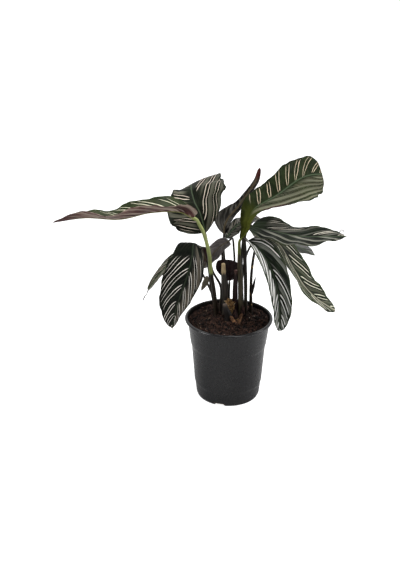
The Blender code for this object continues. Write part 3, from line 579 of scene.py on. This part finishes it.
# foot is where a stalk stands on the crown, x and y; change is the height at which its top colour begins
stalks = dict(
    left_long=dict(
        foot=(-20, 10),
        path=[(-24, 0, 181), (-29, -12, 218), (-33, -34, 262), (-41, -54, 299), (-47, -64, 315)],
        radii=[3.6, 3.2, 3, 2.9, 2.6, 2.4], change=0.215, top=(215, 245, 85)),
    upper_left=dict(
        foot=(-13, 21), path=[(-12.5, 20, 178), (-26.5, 6, 213.5), (-32, -13, 252), (-35, -23, 273)],
        radii=[2.8, 2.2, 1.7, 1.5, 1.5]),
    lower_left=dict(
        foot=(-22, 22), path=[(-28, 19, 175), (-31, 12, 205)], radii=[2.6, 2, 1.7]),
    back_left=dict(
        foot=(-19, 30), path=[(-26, 34, 160), (-40, 38, 190)], radii=[2.2, 1.8, 1.5]),
    middle=dict(
        foot=(-4, 30), path=[(-7, 36, 185), (-10, 41, 222), (-10, 42, 242)], radii=[2.4, 2, 1.6]),
    inner_left=dict(
        foot=(10, 24), path=[(9.5, 26, 180), (9, 30, 218), (7.5, 33, 240)], radii=[2.4, 2, 1.7, 1.6]),
    back=dict(
        foot=(0.5, 37), path=[(-3, 44, 185), (-6.5, 50, 215)], radii=[2.2, 1.8, 1.5]),
    upper_right=dict(
        foot=(19.5, 9), path=[(17.8, 6, 196), (15.5, -1, 228), (14.5, -7, 252)], radii=[4.7, 4.4, 3.6, 1.8],
        change=0.245, top=(130, 150, 35), dark=(30, 25, 13), pale=(130, 110, 66)),
    right=dict(
        foot=(27.5, 18), path=[(25.5, 14, 193), (23.5, 8, 228), (22, 0, 261)], radii=[2.6, 2.2, 2, 1.8]),
    right_drooping=dict(
        foot=(36, 20), path=[(35, 14, 195), (37, 7, 232), (41, 3, 257)], radii=[3, 2.4, 2, 1.8],
        spots=(300, 200, 75)),
    right_low=dict(
        foot=(27.5, 8), path=[(26.5, 2, 195), (24.5, -6, 235), (23.5, -12, 258)], radii=[2.4, 2, 1.8]),
    right_behind=dict(
        foot=(22, 33), path=[(22, 35, 190), (29, 37, 230)], radii=[2.2, 1.8, 1.5]),
    right_inner=dict(
        foot=(19, 26), path=[(20, 24, 190), (20, 19, 240), (22, 15, 268)], radii=[2.2, 1.8, 1.5]),
    small_young=dict(
        foot=(1.5, 19), path=[(0.5, 18.5, 165)], radii=[2, 1.8, 1.6]))

bareStalks = dict(
    stalk_cut=dict(
        foot=(-6, 12), path=[(-6.5, 11, 170), (-8.5, 9, 200), (-9.5, 6, 225)], radii=[5.2, 5, 4.4, 3],
        change=0.208, top=(400, 300, 170), dark=(22, 19, 16), pale=(70, 58, 46)),
    stalk_brown=dict(
        foot=(11, 12), path=[(10, 10.5, 165), (9.8, 8.5, 187), (10.8, 6, 214)], radii=[4.4, 4.4, 4, 3],
        change=0.208, top=(90, 45, 38), dark=(9, 5, 5), pale=(40, 18, 15)),
    stub_dark=dict(
        foot=(-1, -9.5), path=[(-4.5, -9.5, 152), (-7.3, -8, 162.5)], radii=[8, 6.4, 5, 3], change=0.16,
        top=(130, 100, 80), dark=(4.5, 3.8, 3.6), pale=(24, 19, 17)))

stalkDefaults = dict(
    dark=(5, 4, 3), pale=(40, 29, 18), top=None, change=0.25,
    spots=None, rings=120, sides=32, crownTop=132, straightFoot=10, buried=6,
    underBlade=6.5, intoRib=(0.02, 0.10), thinOver=0.004, thinTo=0.25, roundOver=0.0006)


def stalkFinish(name, look):
    # long grain round and along the stalk; the top colour begins at a ragged height
    made, tree, shader = newMaterial("stalk_" + name, 0.5, 0.22)
    place = objectPlace(tree)
    around, along = attributes(tree, "around", "along")
    grain = noise(combine(around * 5.0, along * 28.0, 0.0), 1.0, 4.0, 0.6)
    colour = blend(fade(grain, 0.35, 0.72), look["dark"], look["pale"])
    if look["top"]:
        ragged = (grain - 0.5) * 0.012 + split(place)[2]
        tone = blend(fade(grain, 0.4, 0.75), look["top"], np.multiply(look["top"], 1.5))
        colour = blend(fade(ragged, look["change"] - 0.003, look["change"] + 0.004), colour, tone)
    if look["spots"]:
        colour = blend(fade(noise(place, 130.0), 0.60, 0.66) * 0.8, colour, look["spots"])
    feed(shader["Roughness"], grain * 0.3 + 0.32)
    finish(shader, colour, grain, 0.5, 0.0005)
    return made


def makeTube(name, centres, radii, sides, materials, lumps=0.04, lumpLength=0.010, seed=0):
    # rings of points round a path, each radius changed a little by noise, ends closed by a point
    heading = unit(np.gradient(centres, axis=0))
    left = unit(np.cross(heading, (0.0, 1.0, 0.0)))
    front = np.cross(heading, left)
    angle = circle(sides)
    steps = np.r_[0, np.cumsum(np.linalg.norm(np.diff(centres, axis=0), axis=1))][:, None]
    uneven = 1 + lumps * softNoise(
        steps / lumpLength + 3 * np.cos(angle), 3 * np.sin(angle) + seed, seed + 5, 2)
    spokes = left[:, None] * np.cos(angle)[..., None] + front[:, None] * np.sin(angle)[..., None]
    rings = centres[:, None] + spokes * (radii[:, None] * uneven)[..., None]
    around = np.abs(np.linspace(-1, 1, sides))[None, :] + 0 * steps
    along = steps + 0 * angle
    points, faces = closedRings(rings, centres[[0, -1]], flip=True)
    return makeMesh(name, points, faces, materials, attributes={
        "around": np.r_[around.ravel(), 0, 0], "along": np.r_[along.ravel(), 0, steps[-1, 0]]})


strand = dict(sides=5, taper=np.array([0.15, 0.8, 1.0, 1.0, 0.8, 0.15]))


def makeStrands(name, starts, ends, bends, radii, tones, materials):
    # thin fibres: each runs from its start to its end, pushed out by its bend in a half sine,
    # and thins towards both ends
    sides, taper = strand["sides"], strand["taper"]
    share = np.linspace(0, 1, len(taper))[None, :, None]
    line = starts[:, None] * (1 - share) + ends[:, None] * share + bends[:, None] * np.sin(np.pi * share)
    heading = unit(ends - starts)
    left = unit(np.cross(heading, np.where(np.abs(heading[:, 2:]) > 0.9, (1.0, 0, 0), (0, 0, 1.0))))
    front = np.cross(heading, left)
    angle = circle(sides)[..., None]
    spokes = left[:, None] * np.cos(angle) + front[:, None] * np.sin(angle)
    points = line[:, :, None] + spokes[:, None] * taper[None, :, None, None] * radii[:, None, None, None]
    first, count = np.arange(sides), len(taper) * sides
    shift = count * np.arange(len(starts))[:, None, None]
    faces = [(block[None] + shift).reshape(-1, block.shape[1]) for block in (
        gridFaces(len(taper), sides, wrap=True, flip=True), np.array([first[::-1], first + count - sides]))]
    return makeMesh(name, points.reshape(-1, 3), faces, materials,
                    attributes={"tone": np.repeat(tones, count)})


def makeStalk(name, node, given, slot, blade, seed):
    # a tube along the path from the crown, which runs on under its blade's base and thins out into
    # the midrib, or ends in a round top where it has no blade
    look = stalkDefaults | given
    knots = [(*look["foot"], look["crownTop"] - look["buried"]),
             (*look["foot"], look["crownTop"] + look["straightFoot"]), *look["path"]]
    if blade:
        base = smoothPath(blade["rib"], np.array([0.0, *look["intoRib"]]))[0] * 1000
        knots += [base[0] - unit(base[1] - base[0]) * look["underBlade"], base[0], base[1]]
    stations = np.linspace(0, 1, look["rings"])
    centres, length = smoothPath(knots, stations)
    left = (1 - stations) * length
    if blade:
        ending = np.minimum(left / look["thinOver"] + look["thinTo"], 1)
    else:
        ending = np.sqrt(np.clip(left / look["roundOver"] + 0.05, 0, 1))
    piece = makeTube(name, centres, between(look["radii"], stations) / 1000 * ending, look["sides"],
                     [stalkFinish(name, look)], seed=seed)
    settle(piece, slot, node)


for number, (stalkName, stalkLook) in enumerate(stalks.items()):
    slotName = "stalk_green" if stalkName == "left_long" else "stalk_dark"
    makeStalk("petiole_" + stalkName, "stalk_" + stalkName, stalkLook, slotName, leaves[stalkName], number)
for number, (stalkName, stalkLook) in enumerate(bareStalks.items()):
    makeStalk("bare_" + stalkName, stalkName, stalkLook, "stalk_dark", None, 40 + number)
print("stalks made:", len(stalks) + len(bareStalks))

# withered tips, thin curls at the ends of three blades
tips = dict(
    back_left=dict(
        path=[(-130, 44, 163), (-133, 44, 156), (-137, 43, 150), (-139.5, 43, 143)],
        radii=[0.9, 0.4, 0.9, 0.5]),
    lower_left=dict(
        path=[(-88.8, -46, 140), (-88.6, -46.2, 134.5), (-87.2, -46, 130)], radii=[0.8, 0.4, 0.3],
        dark=(300, 260, 200), pale=(620, 560, 460)),
    right=dict(
        path=[(156, -67, 303.5), (159.5, -65, 307), (162.2, -66, 306), (161.2, -67.5, 304.5)],
        radii=[0.6, 0.5, 0.6, 0.4]))

for number, (tipName, tip) in enumerate(tips.items()):
    stations = np.linspace(0, 1, 30)
    tipLook = stalkDefaults | {"pale": (60, 50, 35)} | tip
    tipPiece = makeTube("tip_" + tipName, smoothPath(tip["path"], stations)[0],
                        between(tip["radii"], stations) / 1000, 12,
                        [stalkFinish("tip_" + tipName, tipLook)], lumps=0.25, seed=80 + number)
    settle(tipPiece, "leaf_green")

sheathDefaults = dict(leafDefaults, rows=61, columns=33, thickness=0.0006, lean=0, foldLength=0.008)

sheaths = dict(
    sheath_torn=dict(
        rib=[(1, 1, 132.5), (1, 2, 148), (1, 3, 166)], face=[(0, -0.95, 0.1)],
        widths=([6, 7, 8, 8, 8, 7, 6, 4, 1], [6, 7, 8, 8, 8, 8, 5, 3, 1]), rise=-25, ruffle=0.0016, seed=20,
        ground=((100, 55, 20), (420, 260, 100))),
    sheath_left=dict(
        rib=[(-33.5, -7.5, 208.5), (-38, -4, 196), (-43.5, 0, 181.6)], face=[(-0.3, -0.9, 0.2)],
        widths=[1.5, 3, 4.2, 4.6, 4.4, 3.4, 2.2, 1.3, 0.5], rise=-20, seed=21,
        ground=((40, 32, 20), (120, 105, 65))),
    sheath_right=dict(
        rib=[(36.3, 13.8, 170), (38.9, 11.8, 184.3), (41.5, 9.8, 199.7)], face=[(0.2, -0.9, 0.1)],
        widths=[2, 2.2, 2.5, 2.5, 2, 1.6, 1, 0.8, 0.5], rise=-10, seed=22, ground=((8, 6, 5), (22, 16, 10))))


def dryFinish(name, look):
    # fibres that run along the sheath
    made, tree, shader = newMaterial("dry_" + name, 0.75)
    across, vein = attributes(tree, "across", "vein")
    fibre = noise(combine(across * 7.0, vein * 60.0, look["seed"]), 1.0, 5.0, 0.65)
    finish(shader, blend(fade(fibre, 0.36, 0.66), *look["ground"]), fibre, 0.8, 0.0008)
    return made


def makeSheath(name, given):
    # a small blade shape, folded by noise
    look = completed(sheathDefaults, given)
    u, v = np.meshgrid(np.linspace(0, 1, look["rows"]), np.linspace(-1, 1, look["columns"]), indexing="ij")
    points, width, reached = bladeShape(look, u, v)
    fold = softNoise(v * 4 + look["seed"], reached / look["foldLength"], int(look["seed"]), 3)
    half = look["thickness"] / 2
    points, faces = closedSheet(points, look["ruffle"] * fold, half, -half)
    piece = makeMesh("dry_" + name, points, faces, [dryFinish(name, look)],
                     attributes={"vein": np.tile(reached.ravel(), 2), "across": np.tile(v.ravel(), 2)})
    settle(piece, "dry_sheath", name)


for sheathName, sheathLook in sheaths.items():
    makeSheath(sheathName, sheathLook)
print("sheaths made:", len(sheaths))

# The corners of the pot's profile are radius, height and bend in millimetres, like its wall: the floor
# outwards, up the inside, over the lip, down the outside, and under the foot to the middle.
pot = dict(
    floor=[(0, 1.8, 0), (21.2, 1.8, 1), (22.4, 6.8, 1), (48.7, 6.8, 1)],
    lip=[(64.8, 134.8, 1.5), (66, 136, 1.5), (68.9, 136, 2), (70, 134.7, 2), (70, 132.7, 1.5),
         (68.6, 131.5, 0.8)],
    outside=[(65.5, 130.5, 0.8), (60.8, 93, 1.5), (59.2, 88, 2), (54.6, 26.5, 1.5), (53.3, 21.5, 2),
             (51.4, 4, 2)],
    under=[(50.4, 1.2, 1), (49.2, 0, 0.8), (44.2, 0, 0.8), (43, 5, 1), (24.2, 5, 1), (23, 0, 1),
           (0, 0, 0)],
    wall=1.5, foot=0.0492, notchFrom=0.0427, segments=256,
    notches=4, notchTurn=-107, notchWidth=0.015, notchHeight=0.004, notchEdge=0.0006,
    wornWidth=0.0065, wornTop=0.0047, wornEdge=0.0004, scuffMiddle=(-0.004, 0.0245),
    scuffSize=(0.014, 0.005), dustHeights=(0.005, 0.045), lipHeights=(0.129, 0.133), lipShine=-0.09,
    black=((8.2, 8.2, 9.1), (12.2, 12.1, 13.1)), dust=(160, 150, 140),
    # the inside colours, darker than the black plastic, are painted shade
    wornTone=(500, 360, 240), inside=((2, 1.8, 1.6), (7, 5.5, 4.5)))


def roundedProfile(corners, perCorner=5):
    # a polyline whose corners are replaced by short quadratic arcs of the given bend
    places = np.array(corners, float)[:, :2]
    points, share = [places[0]], np.linspace(0, 1, perCorner)[:, None]
    for before, middle, after, bend in zip(places, places[1:], places[2:], np.array(corners)[1:, 2]):
        towards, onward = before - middle, after - middle
        cut = min(bend, 0.45 * np.linalg.norm(towards), 0.45 * np.linalg.norm(onward))
        start, end = [middle + way / np.linalg.norm(way) * cut for way in (towards, onward)]
        points += list((1 - share) ** 2 * start + 2 * share * (1 - share) * middle + share ** 2 * end)
    return np.array(points + [places[-1]]) / 1000


def potInsideShade():
    # painted shade: the inside wall and floor are coloured darker than the outside plastic, for the shade
    # inside the pot
    made, tree, shader = newMaterial("pot_inside_painted_shade", 0.6, 0.06)
    cloud = noise(objectPlace(tree), 60.0, 4.0, 0.6)
    finish(shader, blend(cloud, *pot["inside"]), cloud, 0.2, 0.0004)
    return made


def potFinish():
    # black plastic with specks of dust low down, scuffs in one patch, and a foot worn at the notch
    made, tree, shader = newMaterial("pot_plastic", 0.42, 0.36)
    place = objectPlace(tree)
    height = split(place)[2]
    scuffed, worn = attributes(tree, "scuffed", "worn")
    cloud = noise(place, 18.0, 4.0, 0.6)
    spots = fade(noise(place, 230.0, 3.0, 0.7), 0.66, 0.80) * fade(height, *pot["dustHeights"], 1.0, 0.1)
    scuffs = fade(noise(place, 420.0, 4.0, 0.75), 0.55, 0.66) * scuffed
    dust = (spots * fade(cloud, 0.45, 0.62)).maths("MAXIMUM", scuffs)
    colour = blend(dust * 0.45, blend(cloud, *pot["black"]), pot["dust"])
    colour = blend(worn * fade(cloud, 0.2, 0.5, 0.6, 1.0), colour, pot["wornTone"])
    shine = fade(height, *pot["lipHeights"]) * pot["lipShine"]
    feed(shader["Roughness"], shine + (noise(place, 90.0, 4.0, 0.6) * 0.12 + 0.21))
    finish(shader, colour, noise(place, 1400.0), 0.12, 0.0002)
    return made


def makePot():
    # a profile turned round the axis; inside the notches the foot's low points are lifted
    inside = [(radius - pot["wall"], height, bend) for radius, height, bend in pot["outside"][-2::-1]]
    profile = roundedProfile(pot["floor"] + inside + pot["lip"] + pot["outside"] + pot["under"])
    angle = circle(pot["segments"])
    radius, height = [profile[1:-1, axis:axis + 1] + 0 * angle for axis in (0, 1)]
    turn, atNotch = 2 * np.pi / pot["notches"], angle - math.radians(pot["notchTurn"])
    fromNotch = np.abs((atNotch + turn / 2) % turn - turn / 2) * pot["foot"]
    edge = pot["notchEdge"]
    inNotch = ramp(pot["notchWidth"] / 2 + edge - fromNotch, 2 * edge)
    onFoot = (radius > pot["notchFrom"]) & (height < pot["notchHeight"])
    outside = np.arange(len(radius))[:, None] > len(radius) // 2
    height = np.where(onFoot & outside, np.maximum(height, pot["notchHeight"] * inNotch), height)
    rings = turned(radius, height, angle)
    x, y, height = np.moveaxis(rings, -1, 0)
    points, faces = closedRings(rings, [[0, 0, profile[0, 1]], [0, 0, profile[-1, 1]]])
    front = np.abs((atNotch + np.pi) % (2 * np.pi) - np.pi) * pot["foot"]
    worn = (np.clip(1.4 - front / pot["wornWidth"], 0, 1)
            * ramp(pot["wornTop"] - height, pot["wornEdge"]))
    (middle, low), (wide, high) = pot["scuffMiddle"], pot["scuffSize"]
    scuffed = np.exp(-((x - middle) / wide) ** 2 - ((height - low) / high) ** 2) * (y < 0)
    lipRow = int(np.argmax(profile[1:-1, 1] - 0.01 * profile[1:-1, 0]))
    # faces of the pot's inner floor and inner wall take the painted-shade material
    inside = np.concatenate([np.repeat(np.arange(len(radius) - 1) < lipRow - 1, pot["segments"]),
                             np.ones(pot["segments"]), np.zeros(pot["segments"])])
    piece = makeMesh("nursery_pot", points, faces, [potFinish(), potInsideShade()], inside,
                     {"worn": np.r_[worn.ravel(), 0, 0], "scuffed": np.r_[scuffed.ravel(), 0, 0]})
    piece.data.set_sharp_from_angle(angle=math.radians(50))
    settle(piece, "pot", "pot")


makePot()
print("pot made")

# a heap is x, y, height and reach; sizes and lengths given in twos are the least and the most
soil = dict(
    level=0.130, mound=0.006, spread=0.036, centre=(0.007, 0.013), edge=0.0635,
    side=[(0.0625, 0.124), (0.050, 0.03), (0.046, 0.0074)], rings=170, segments=320, relief=0.0019,
    lumpLength=0.008,
    heaps=[(0.003, -0.024, 0.0035, 0.010), (0.013, -0.022, 0.0045, 0.008), (-0.030, -0.018, 0.0045, 0.013),
           (0.026, 0.004, 0.003, 0.009), (-0.012, 0.000, 0.002, 0.009)],
    crumbs=2600, crumbSize=(0.00045, 0.0026), crumbStretch=(0.55, 1.25), crumbDents=(0.75, 1.15),
    crumbInset=0.0025, crumbRaise=0.35, smallPale=0.0009,
    fibres=420, fibreLength=(0.003, 0.010), fibreRadius=(0.00012, 0.00035), fibreBend=0.0008,
    fibreInset=(0.006, 0.003), fibreRaise=0.0010,
    dark=(1.8, 1.2, 1.1), brown=(44, 21.5, 15), light=(420, 360, 300),
    fibreTones=((12, 7, 5), (70, 36, 22), (240, 170, 110)))


def soilFinish(name, dark, pale, scale):
    # fine grain from dark to pale, with lighter patches
    made, tree, shader = newMaterial(name, 0.95, 0.2)
    place = objectPlace(tree)
    grain, patch = noise(place, scale, 6.0, 0.7), noise(place, scale / 6, 3.0, 0.6)
    colour = blend(fade(grain, 0.40, 0.68), dark, pale)
    colour = blend(fade(patch, 0.5, 0.75, 0.0, 0.6), colour, np.multiply(pale, 1.6))
    finish(shader, colour, grain, 0.9, 0.0012)
    return made


def crumbFinish(name, dark, brown, light):
    # the tone of each crumb or fibre picks its colour, and only the highest tones are light
    made, tree, shader = newMaterial(name, 0.9, 0.2)
    tone, = attributes(tree, "tone")
    grain = noise(objectPlace(tree), 900.0, 4.0, 0.7)
    colour = blend(fade(grain * 0.5 + (tone - 0.25), 0.15, 0.85), dark, brown)
    finish(shader, blend(fade(tone, 0.955, 0.985), colour, light), grain, 0.6, 0.0005)
    return made


def soilHeight(x, y):
    # a bell-shaped mound, smaller heaps and noise added up
    away = np.hypot(x - soil["centre"][0], y - soil["centre"][1])
    level = soil["level"] + soil["mound"] * np.exp(-(away / soil["spread"]) ** 2)
    for heapX, heapY, height, reach in soil["heaps"]:
        level = level + height * np.exp(-((x - heapX) ** 2 + (y - heapY) ** 2) / reach ** 2)
    return level + soil["relief"] * softNoise(*[way / soil["lumpLength"] + 20 for way in (x, y)], 71, 4)


def scatterOnSoil(random, count, edge):
    # chance places spread evenly over a disc, at the height of the soil
    turn = random.uniform(0, 2 * np.pi, count)
    away = edge * np.sqrt(random.uniform(0, 1, count))
    x, y = away * np.cos(turn), away * np.sin(turn)
    return np.stack([x, y, soilHeight(x, y)], axis=1)


def smallLump():
    # an octahedron with each face cut in four, its eighteen points pushed out to a ball
    octant = np.array([(1, 0, 0), (-1, 0, 0), (0, 1, 0), (0, -1, 0), (0, 0, 1), (0, 0, -1)], float)
    corners = np.array([(0, 2, 4), (2, 1, 4), (1, 3, 4), (3, 0, 4),
                        (2, 0, 5), (1, 2, 5), (3, 1, 5), (0, 3, 5)])
    edges = np.sort(np.concatenate([corners[:, [0, 1]], corners[:, [1, 2]], corners[:, [2, 0]]]), axis=1)
    pairs, place = np.unique(edges, axis=0, return_inverse=True)
    a, b, c = corners.T
    ab, bc, ca = 6 + place.reshape(3, 8)
    points = np.concatenate([octant, unit(octant[pairs[:, 0]] + octant[pairs[:, 1]])])
    return points, np.concatenate([np.stack(corner, axis=1) for corner in
                                   ((a, ab, ca), (b, bc, ab), (c, ca, bc), (ab, bc, ca))])


def makeCrumbs(random):
    # copies of a small lump, each stretched, turned and lightly dented by chance
    count, (small, large) = soil["crumbs"], soil["crumbSize"]
    lump, lumpFaces = smallLump()
    size = small * (large / small) ** (random.uniform(0, 1, count) ** 2)
    stretch = random.uniform(*soil["crumbStretch"], (count, 1, 3)) * size[:, None, None]
    dents = random.uniform(*soil["crumbDents"], (count, len(lump), 1))
    w, x, y, z = unit(random.normal(size=(count, 4))).T
    turns = np.stack([1 - 2 * (y * y + z * z), 2 * (x * y - w * z), 2 * (x * z + w * y),
                      2 * (x * y + w * z), 1 - 2 * (x * x + z * z), 2 * (y * z - w * x),
                      2 * (x * z - w * y), 2 * (y * z + w * x), 1 - 2 * (x * x + y * y)], axis=1)
    shapes = np.einsum("nij,nvj->nvi", turns.reshape(-1, 3, 3), lump[None] * dents * stretch)
    spots = scatterOnSoil(random, count, soil["edge"] - soil["crumbInset"])
    spots[:, 2] += size * soil["crumbRaise"]
    tones = random.uniform(0, 1, count)
    tones = np.where((tones > 0.95) & (size > soil["smallPale"]), 0.90, tones)
    faces = lumpFaces[None] + len(lump) * np.arange(count)[:, None, None]
    piece = makeMesh("peat_crumbs", (shapes + spots[:, None]).reshape(-1, 3), [faces.reshape(-1, 3)],
                     [crumbFinish("crumbs", soil["dark"], soil["brown"], soil["light"])],
                     attributes={"tone": np.repeat(tones, len(lump))})
    settle(piece, "soil")


def makeFibres(random):
    # strands that lie on the soil, each from a chance place in a chance direction
    count, (startInset, endInset) = soil["fibres"], soil["fibreInset"]
    starts = scatterOnSoil(random, count, soil["edge"] - startInset)
    turn = random.uniform(0, 2 * np.pi, count)
    length = random.uniform(*soil["fibreLength"], count)
    ends = starts + np.stack([length * np.cos(turn), length * np.sin(turn), 0 * turn], axis=1)
    inside = np.minimum(1, (soil["edge"] - endInset) / np.hypot(ends[:, 0], ends[:, 1]))
    ends[:, :2] *= inside[:, None]
    ends[:, 2] = soilHeight(ends[:, 0], ends[:, 1])
    bends = random.normal(0, soil["fibreBend"], (count, 3)) + (0, 0, soil["fibreRaise"])
    radii = random.uniform(*soil["fibreRadius"], count)
    fibres = makeStrands("peat_fibres", starts, ends, bends, radii, random.uniform(0.2, 1, count),
                         [crumbFinish("fibres", *soil["fibreTones"])])
    settle(fibres, "soil")


def makeSoil():
    # a disc of rings whose heights follow the mound and noise, closed below by a tapered side
    angle = circle(soil["segments"])
    radius = soil["edge"] * np.linspace(0, 1, soil["rings"])[1:, None] ** 0.8
    top = turned(radius, soilHeight(radius * np.cos(angle), radius * np.sin(angle)), angle)
    side = turned(*[np.array(soil["side"])[:, axis, None] for axis in (0, 1)], angle)
    points, faces = closedRings(np.concatenate([top, side]),
                                [[0, 0, soilHeight(0.0, 0.0)], [0, 0, soil["side"][-1][1]]])
    piece = makeMesh("peat_bed", points, faces, [soilFinish("peat", soil["dark"], soil["brown"], 420.0)])
    settle(piece, "soil", "soil")


makeSoil()
soilRandom = np.random.default_rng(17)
makeCrumbs(soilRandom)
makeFibres(soilRandom)
print("soil made")

crown = dict(centre=(0.007, 0.013), halfLength=0.0365, halfWidth=0.0300, top=0.1318, deep=0.0135,
             rough=0.03, shrunk=0.97, rings=40, segments=96, dark=(20, 11, 7), pale=(100, 55, 28))


def makeCrown():
    # an oval, flattened dome, roughened by noise
    share, angle = np.linspace(0, 1, crown["rings"])[1:-1, None], circle(crown["segments"])
    tilt, (x, y), half = np.pi * share, crown["centre"], crown["deep"] / 2
    squash = np.sign(np.cos(tilt)) * np.abs(np.cos(tilt)) ** 0.5
    rough = 1 + crown["rough"] * softNoise(3 * np.cos(angle) + 5, 3 * np.sin(angle) + 4 * share, 88, 3)
    reach = np.sin(tilt) ** 0.5 * rough * crown["shrunk"]
    rings = np.stack([x + crown["halfLength"] * reach * np.cos(angle),
                      y + crown["halfWidth"] * reach * np.sin(angle),
                      crown["top"] - half + half * squash + 0 * angle], axis=-1)
    points, faces = closedRings(rings, [[x, y, crown["top"]], [x, y, crown["top"] - crown["deep"]]])
    piece = makeMesh("root_crown", points, faces,
                     [soilFinish("crown_bark", crown["dark"], crown["pale"], 300.0)])
    settle(piece, "crown", "crown")


makeCrown()

rootFlaps = dict(
    left=dict(
        path=[(1.5, -13, 143.5), (6.5, -21.5, 139), (12.5, -28.5, 134.5)], radii=[1.8, 3, 2.8, 2]),
    right=dict(
        path=[(21.6, -6.6, 144.3), (17, -15, 140), (14, -27, 134.5)], radii=[1.4, 2.2, 2.4, 1.8]),
    lump=dict(
        path=[(8, -18.5, 134), (11.5, -20, 135), (15, -19, 132.5)], radii=[2.4, 3.6, 2.6]),
    swelling=dict(
        path=[(21.5, 5, 154), (22.5, 3, 148), (21.5, 2, 136)], radii=[1.2, 2.8, 4]),
    shoulder=dict(
        path=[(10, 4, 148), (9.5, 0, 142), (9, -4, 134)], radii=[1.5, 3.6, 4.6]))

# two clumps of dry fibres, one about the torn sheath and one about the roots
dryFibres = dict(
    count=190, first=90, middles=((0.0012, 0.0010, 0.1560), (0.0110, -0.0190, 0.1340)),
    spreads=((0.0030, 0.0015, 0.0042), (0.0036, 0.0024, 0.00096)), length=(0.0030, 0.0018, 0.0035),
    bend=0.0009, radius=(0.00025, 0.0008),
    tones=((60, 28, 10), (340, 200, 80), (600, 500, 330)))


def makeRoots():
    # torn roots that curl out of the crown, lumpy tubes that are rounded at both ends
    pale = soilFinish("root_skin", (22, 10, 7), (175, 88, 43), 420.0)
    dark = soilFinish("dark_root", (12, 7, 7), (70, 35, 28), 450.0)
    stations = np.linspace(0, 1, 40)
    ends = np.sqrt(np.clip(np.minimum(stations, 1 - stations) * 8, 0.05, 1))
    for number, (name, root) in enumerate(rootFlaps.items()):
        centres = smoothPath(root["path"], stations)[0]
        skin = dark if name in ("swelling", "shoulder") else pale
        piece = makeTube("root_" + name, centres, between(root["radii"], stations) / 1000 * ends, 24,
                         [skin], lumps=0.30, seed=60 + number)
        settle(piece, "crown")


def makeDryFibres():
    # strands scattered about the middle of each clump, with a normal spread in each direction
    random, count = np.random.default_rng(23), dryFibres["count"]
    first = np.arange(count)[:, None] < dryFibres["first"]
    middle, spread = np.where(first, *dryFibres["middles"]), np.where(first, *dryFibres["spreads"])
    starts = middle + spread * random.normal(size=(count, 3))
    ends = starts + random.normal(0, 1, (count, 3)) * dryFibres["length"]
    bends = random.normal(0, dryFibres["bend"], (count, 3))
    tones = random.uniform(0, 1, count)
    radii = random.uniform(*dryFibres["radius"], count)
    fibres = makeStrands("dry_fibres", starts, ends, bends, radii, tones,
                         [crumbFinish("ochre_fibres", *dryFibres["tones"])])
    settle(fibres, "dry_sheath")


makeRoots()
makeDryFibres()
print("crown and roots made")

camera = dict(target=(-0.0459, 0.0, 0.1909), elevation=23.85, distance=1.4, lens=56.31)

studio = dict(
    front=0.05, behind=0.75, beside=0.60, above=0.40, target=(0, 0, 0.2), floorSize=14.0,
    floorHeight=-0.0002, floorGlow=0.85, lights=dict(
        top=dict(place=(0.20, 0.20, 1.75), size=(0.5, 0.5), power=14),
        left=dict(place=(-1.3, -0.5, 0.9), size=(0.5, 0.9), power=12),
        right=dict(place=(1.3, -0.1, 0.8), size=(0.5, 0.9), power=12),
        front=dict(place=(0.75, -1.35, 1.45), size=(0.8, 0.8), power=12)))


def placeCamera():
    # back from its target by its distance, along a line tilted down by its elevation
    data = bpy.data.cameras.new("camera")
    data.lens = camera["lens"]
    tilt, (x, y, z) = math.radians(camera["elevation"]), camera["target"]
    place = (x, y - camera["distance"] * math.cos(tilt), z + camera["distance"] * math.sin(tilt))
    scene.camera = placeObject("camera", data, place, (math.pi / 2 - tilt, 0, 0))


def addLight(name, place, size, power):
    # a rectangle of light turned to face the studio's target, its longer side kept upright
    data = bpy.data.lights.new(name, "AREA")
    data.shape = "RECTANGLE"
    data.size, data.size_y = size
    data.energy = power
    x, y, z = np.array(studio["target"], float) - np.array(place, float)
    placeObject(name, data, place, (math.atan2(math.hypot(x, y), -z), 0, math.atan2(-x, y)))


def makeStudio():
    # the sky is dim in front and brighter at both sides, behind and above; seen directly it is white
    world = bpy.data.worlds.new("studio")
    scene.world = world
    world.use_nodes = True
    tree = world.node_tree
    background = tree.nodes["Background"].inputs
    x, y, z = split(addNode(tree, "TexCoord", output="Generated"))
    lit = fade(y, 0.1, 0.9, studio["front"], studio["behind"]) + (
        fade(abs(x), 0.45, 0.95, 0.0, studio["beside"]) + fade(z, 0.1, 0.9, 0.0, studio["above"]))
    seen = addNode(tree, "LightPath", output="Is Camera Ray")
    feed(background["Color"], (1000, 1000, 1000))
    feed(background["Strength"], seen * (lit * -1.0 + 1.0) + lit)
    for name, light in studio["lights"].items():
        addLight(name, **light)
    size, height = studio["floorSize"], studio["floorHeight"]
    corners = np.array([(x * size, y * size, height) for x, y in ((-1, -1), (1, -1), (1, 1), (-1, 1))])
    made, tree, shader = newMaterial("floor", 0.9, 0.0)
    feed(shader["Base Color"], (500, 500, 500))
    feed(shader["Emission Color"], (1000, 1000, 1000))
    seen = addNode(tree, "LightPath", output="Is Camera Ray")
    feed(shader["Emission Strength"], seen * studio["floorGlow"])
    makeMesh("studio_floor", corners, [np.array([[0, 1, 2, 3]])], [made])


placeCamera()
makeStudio()
print("studio made")
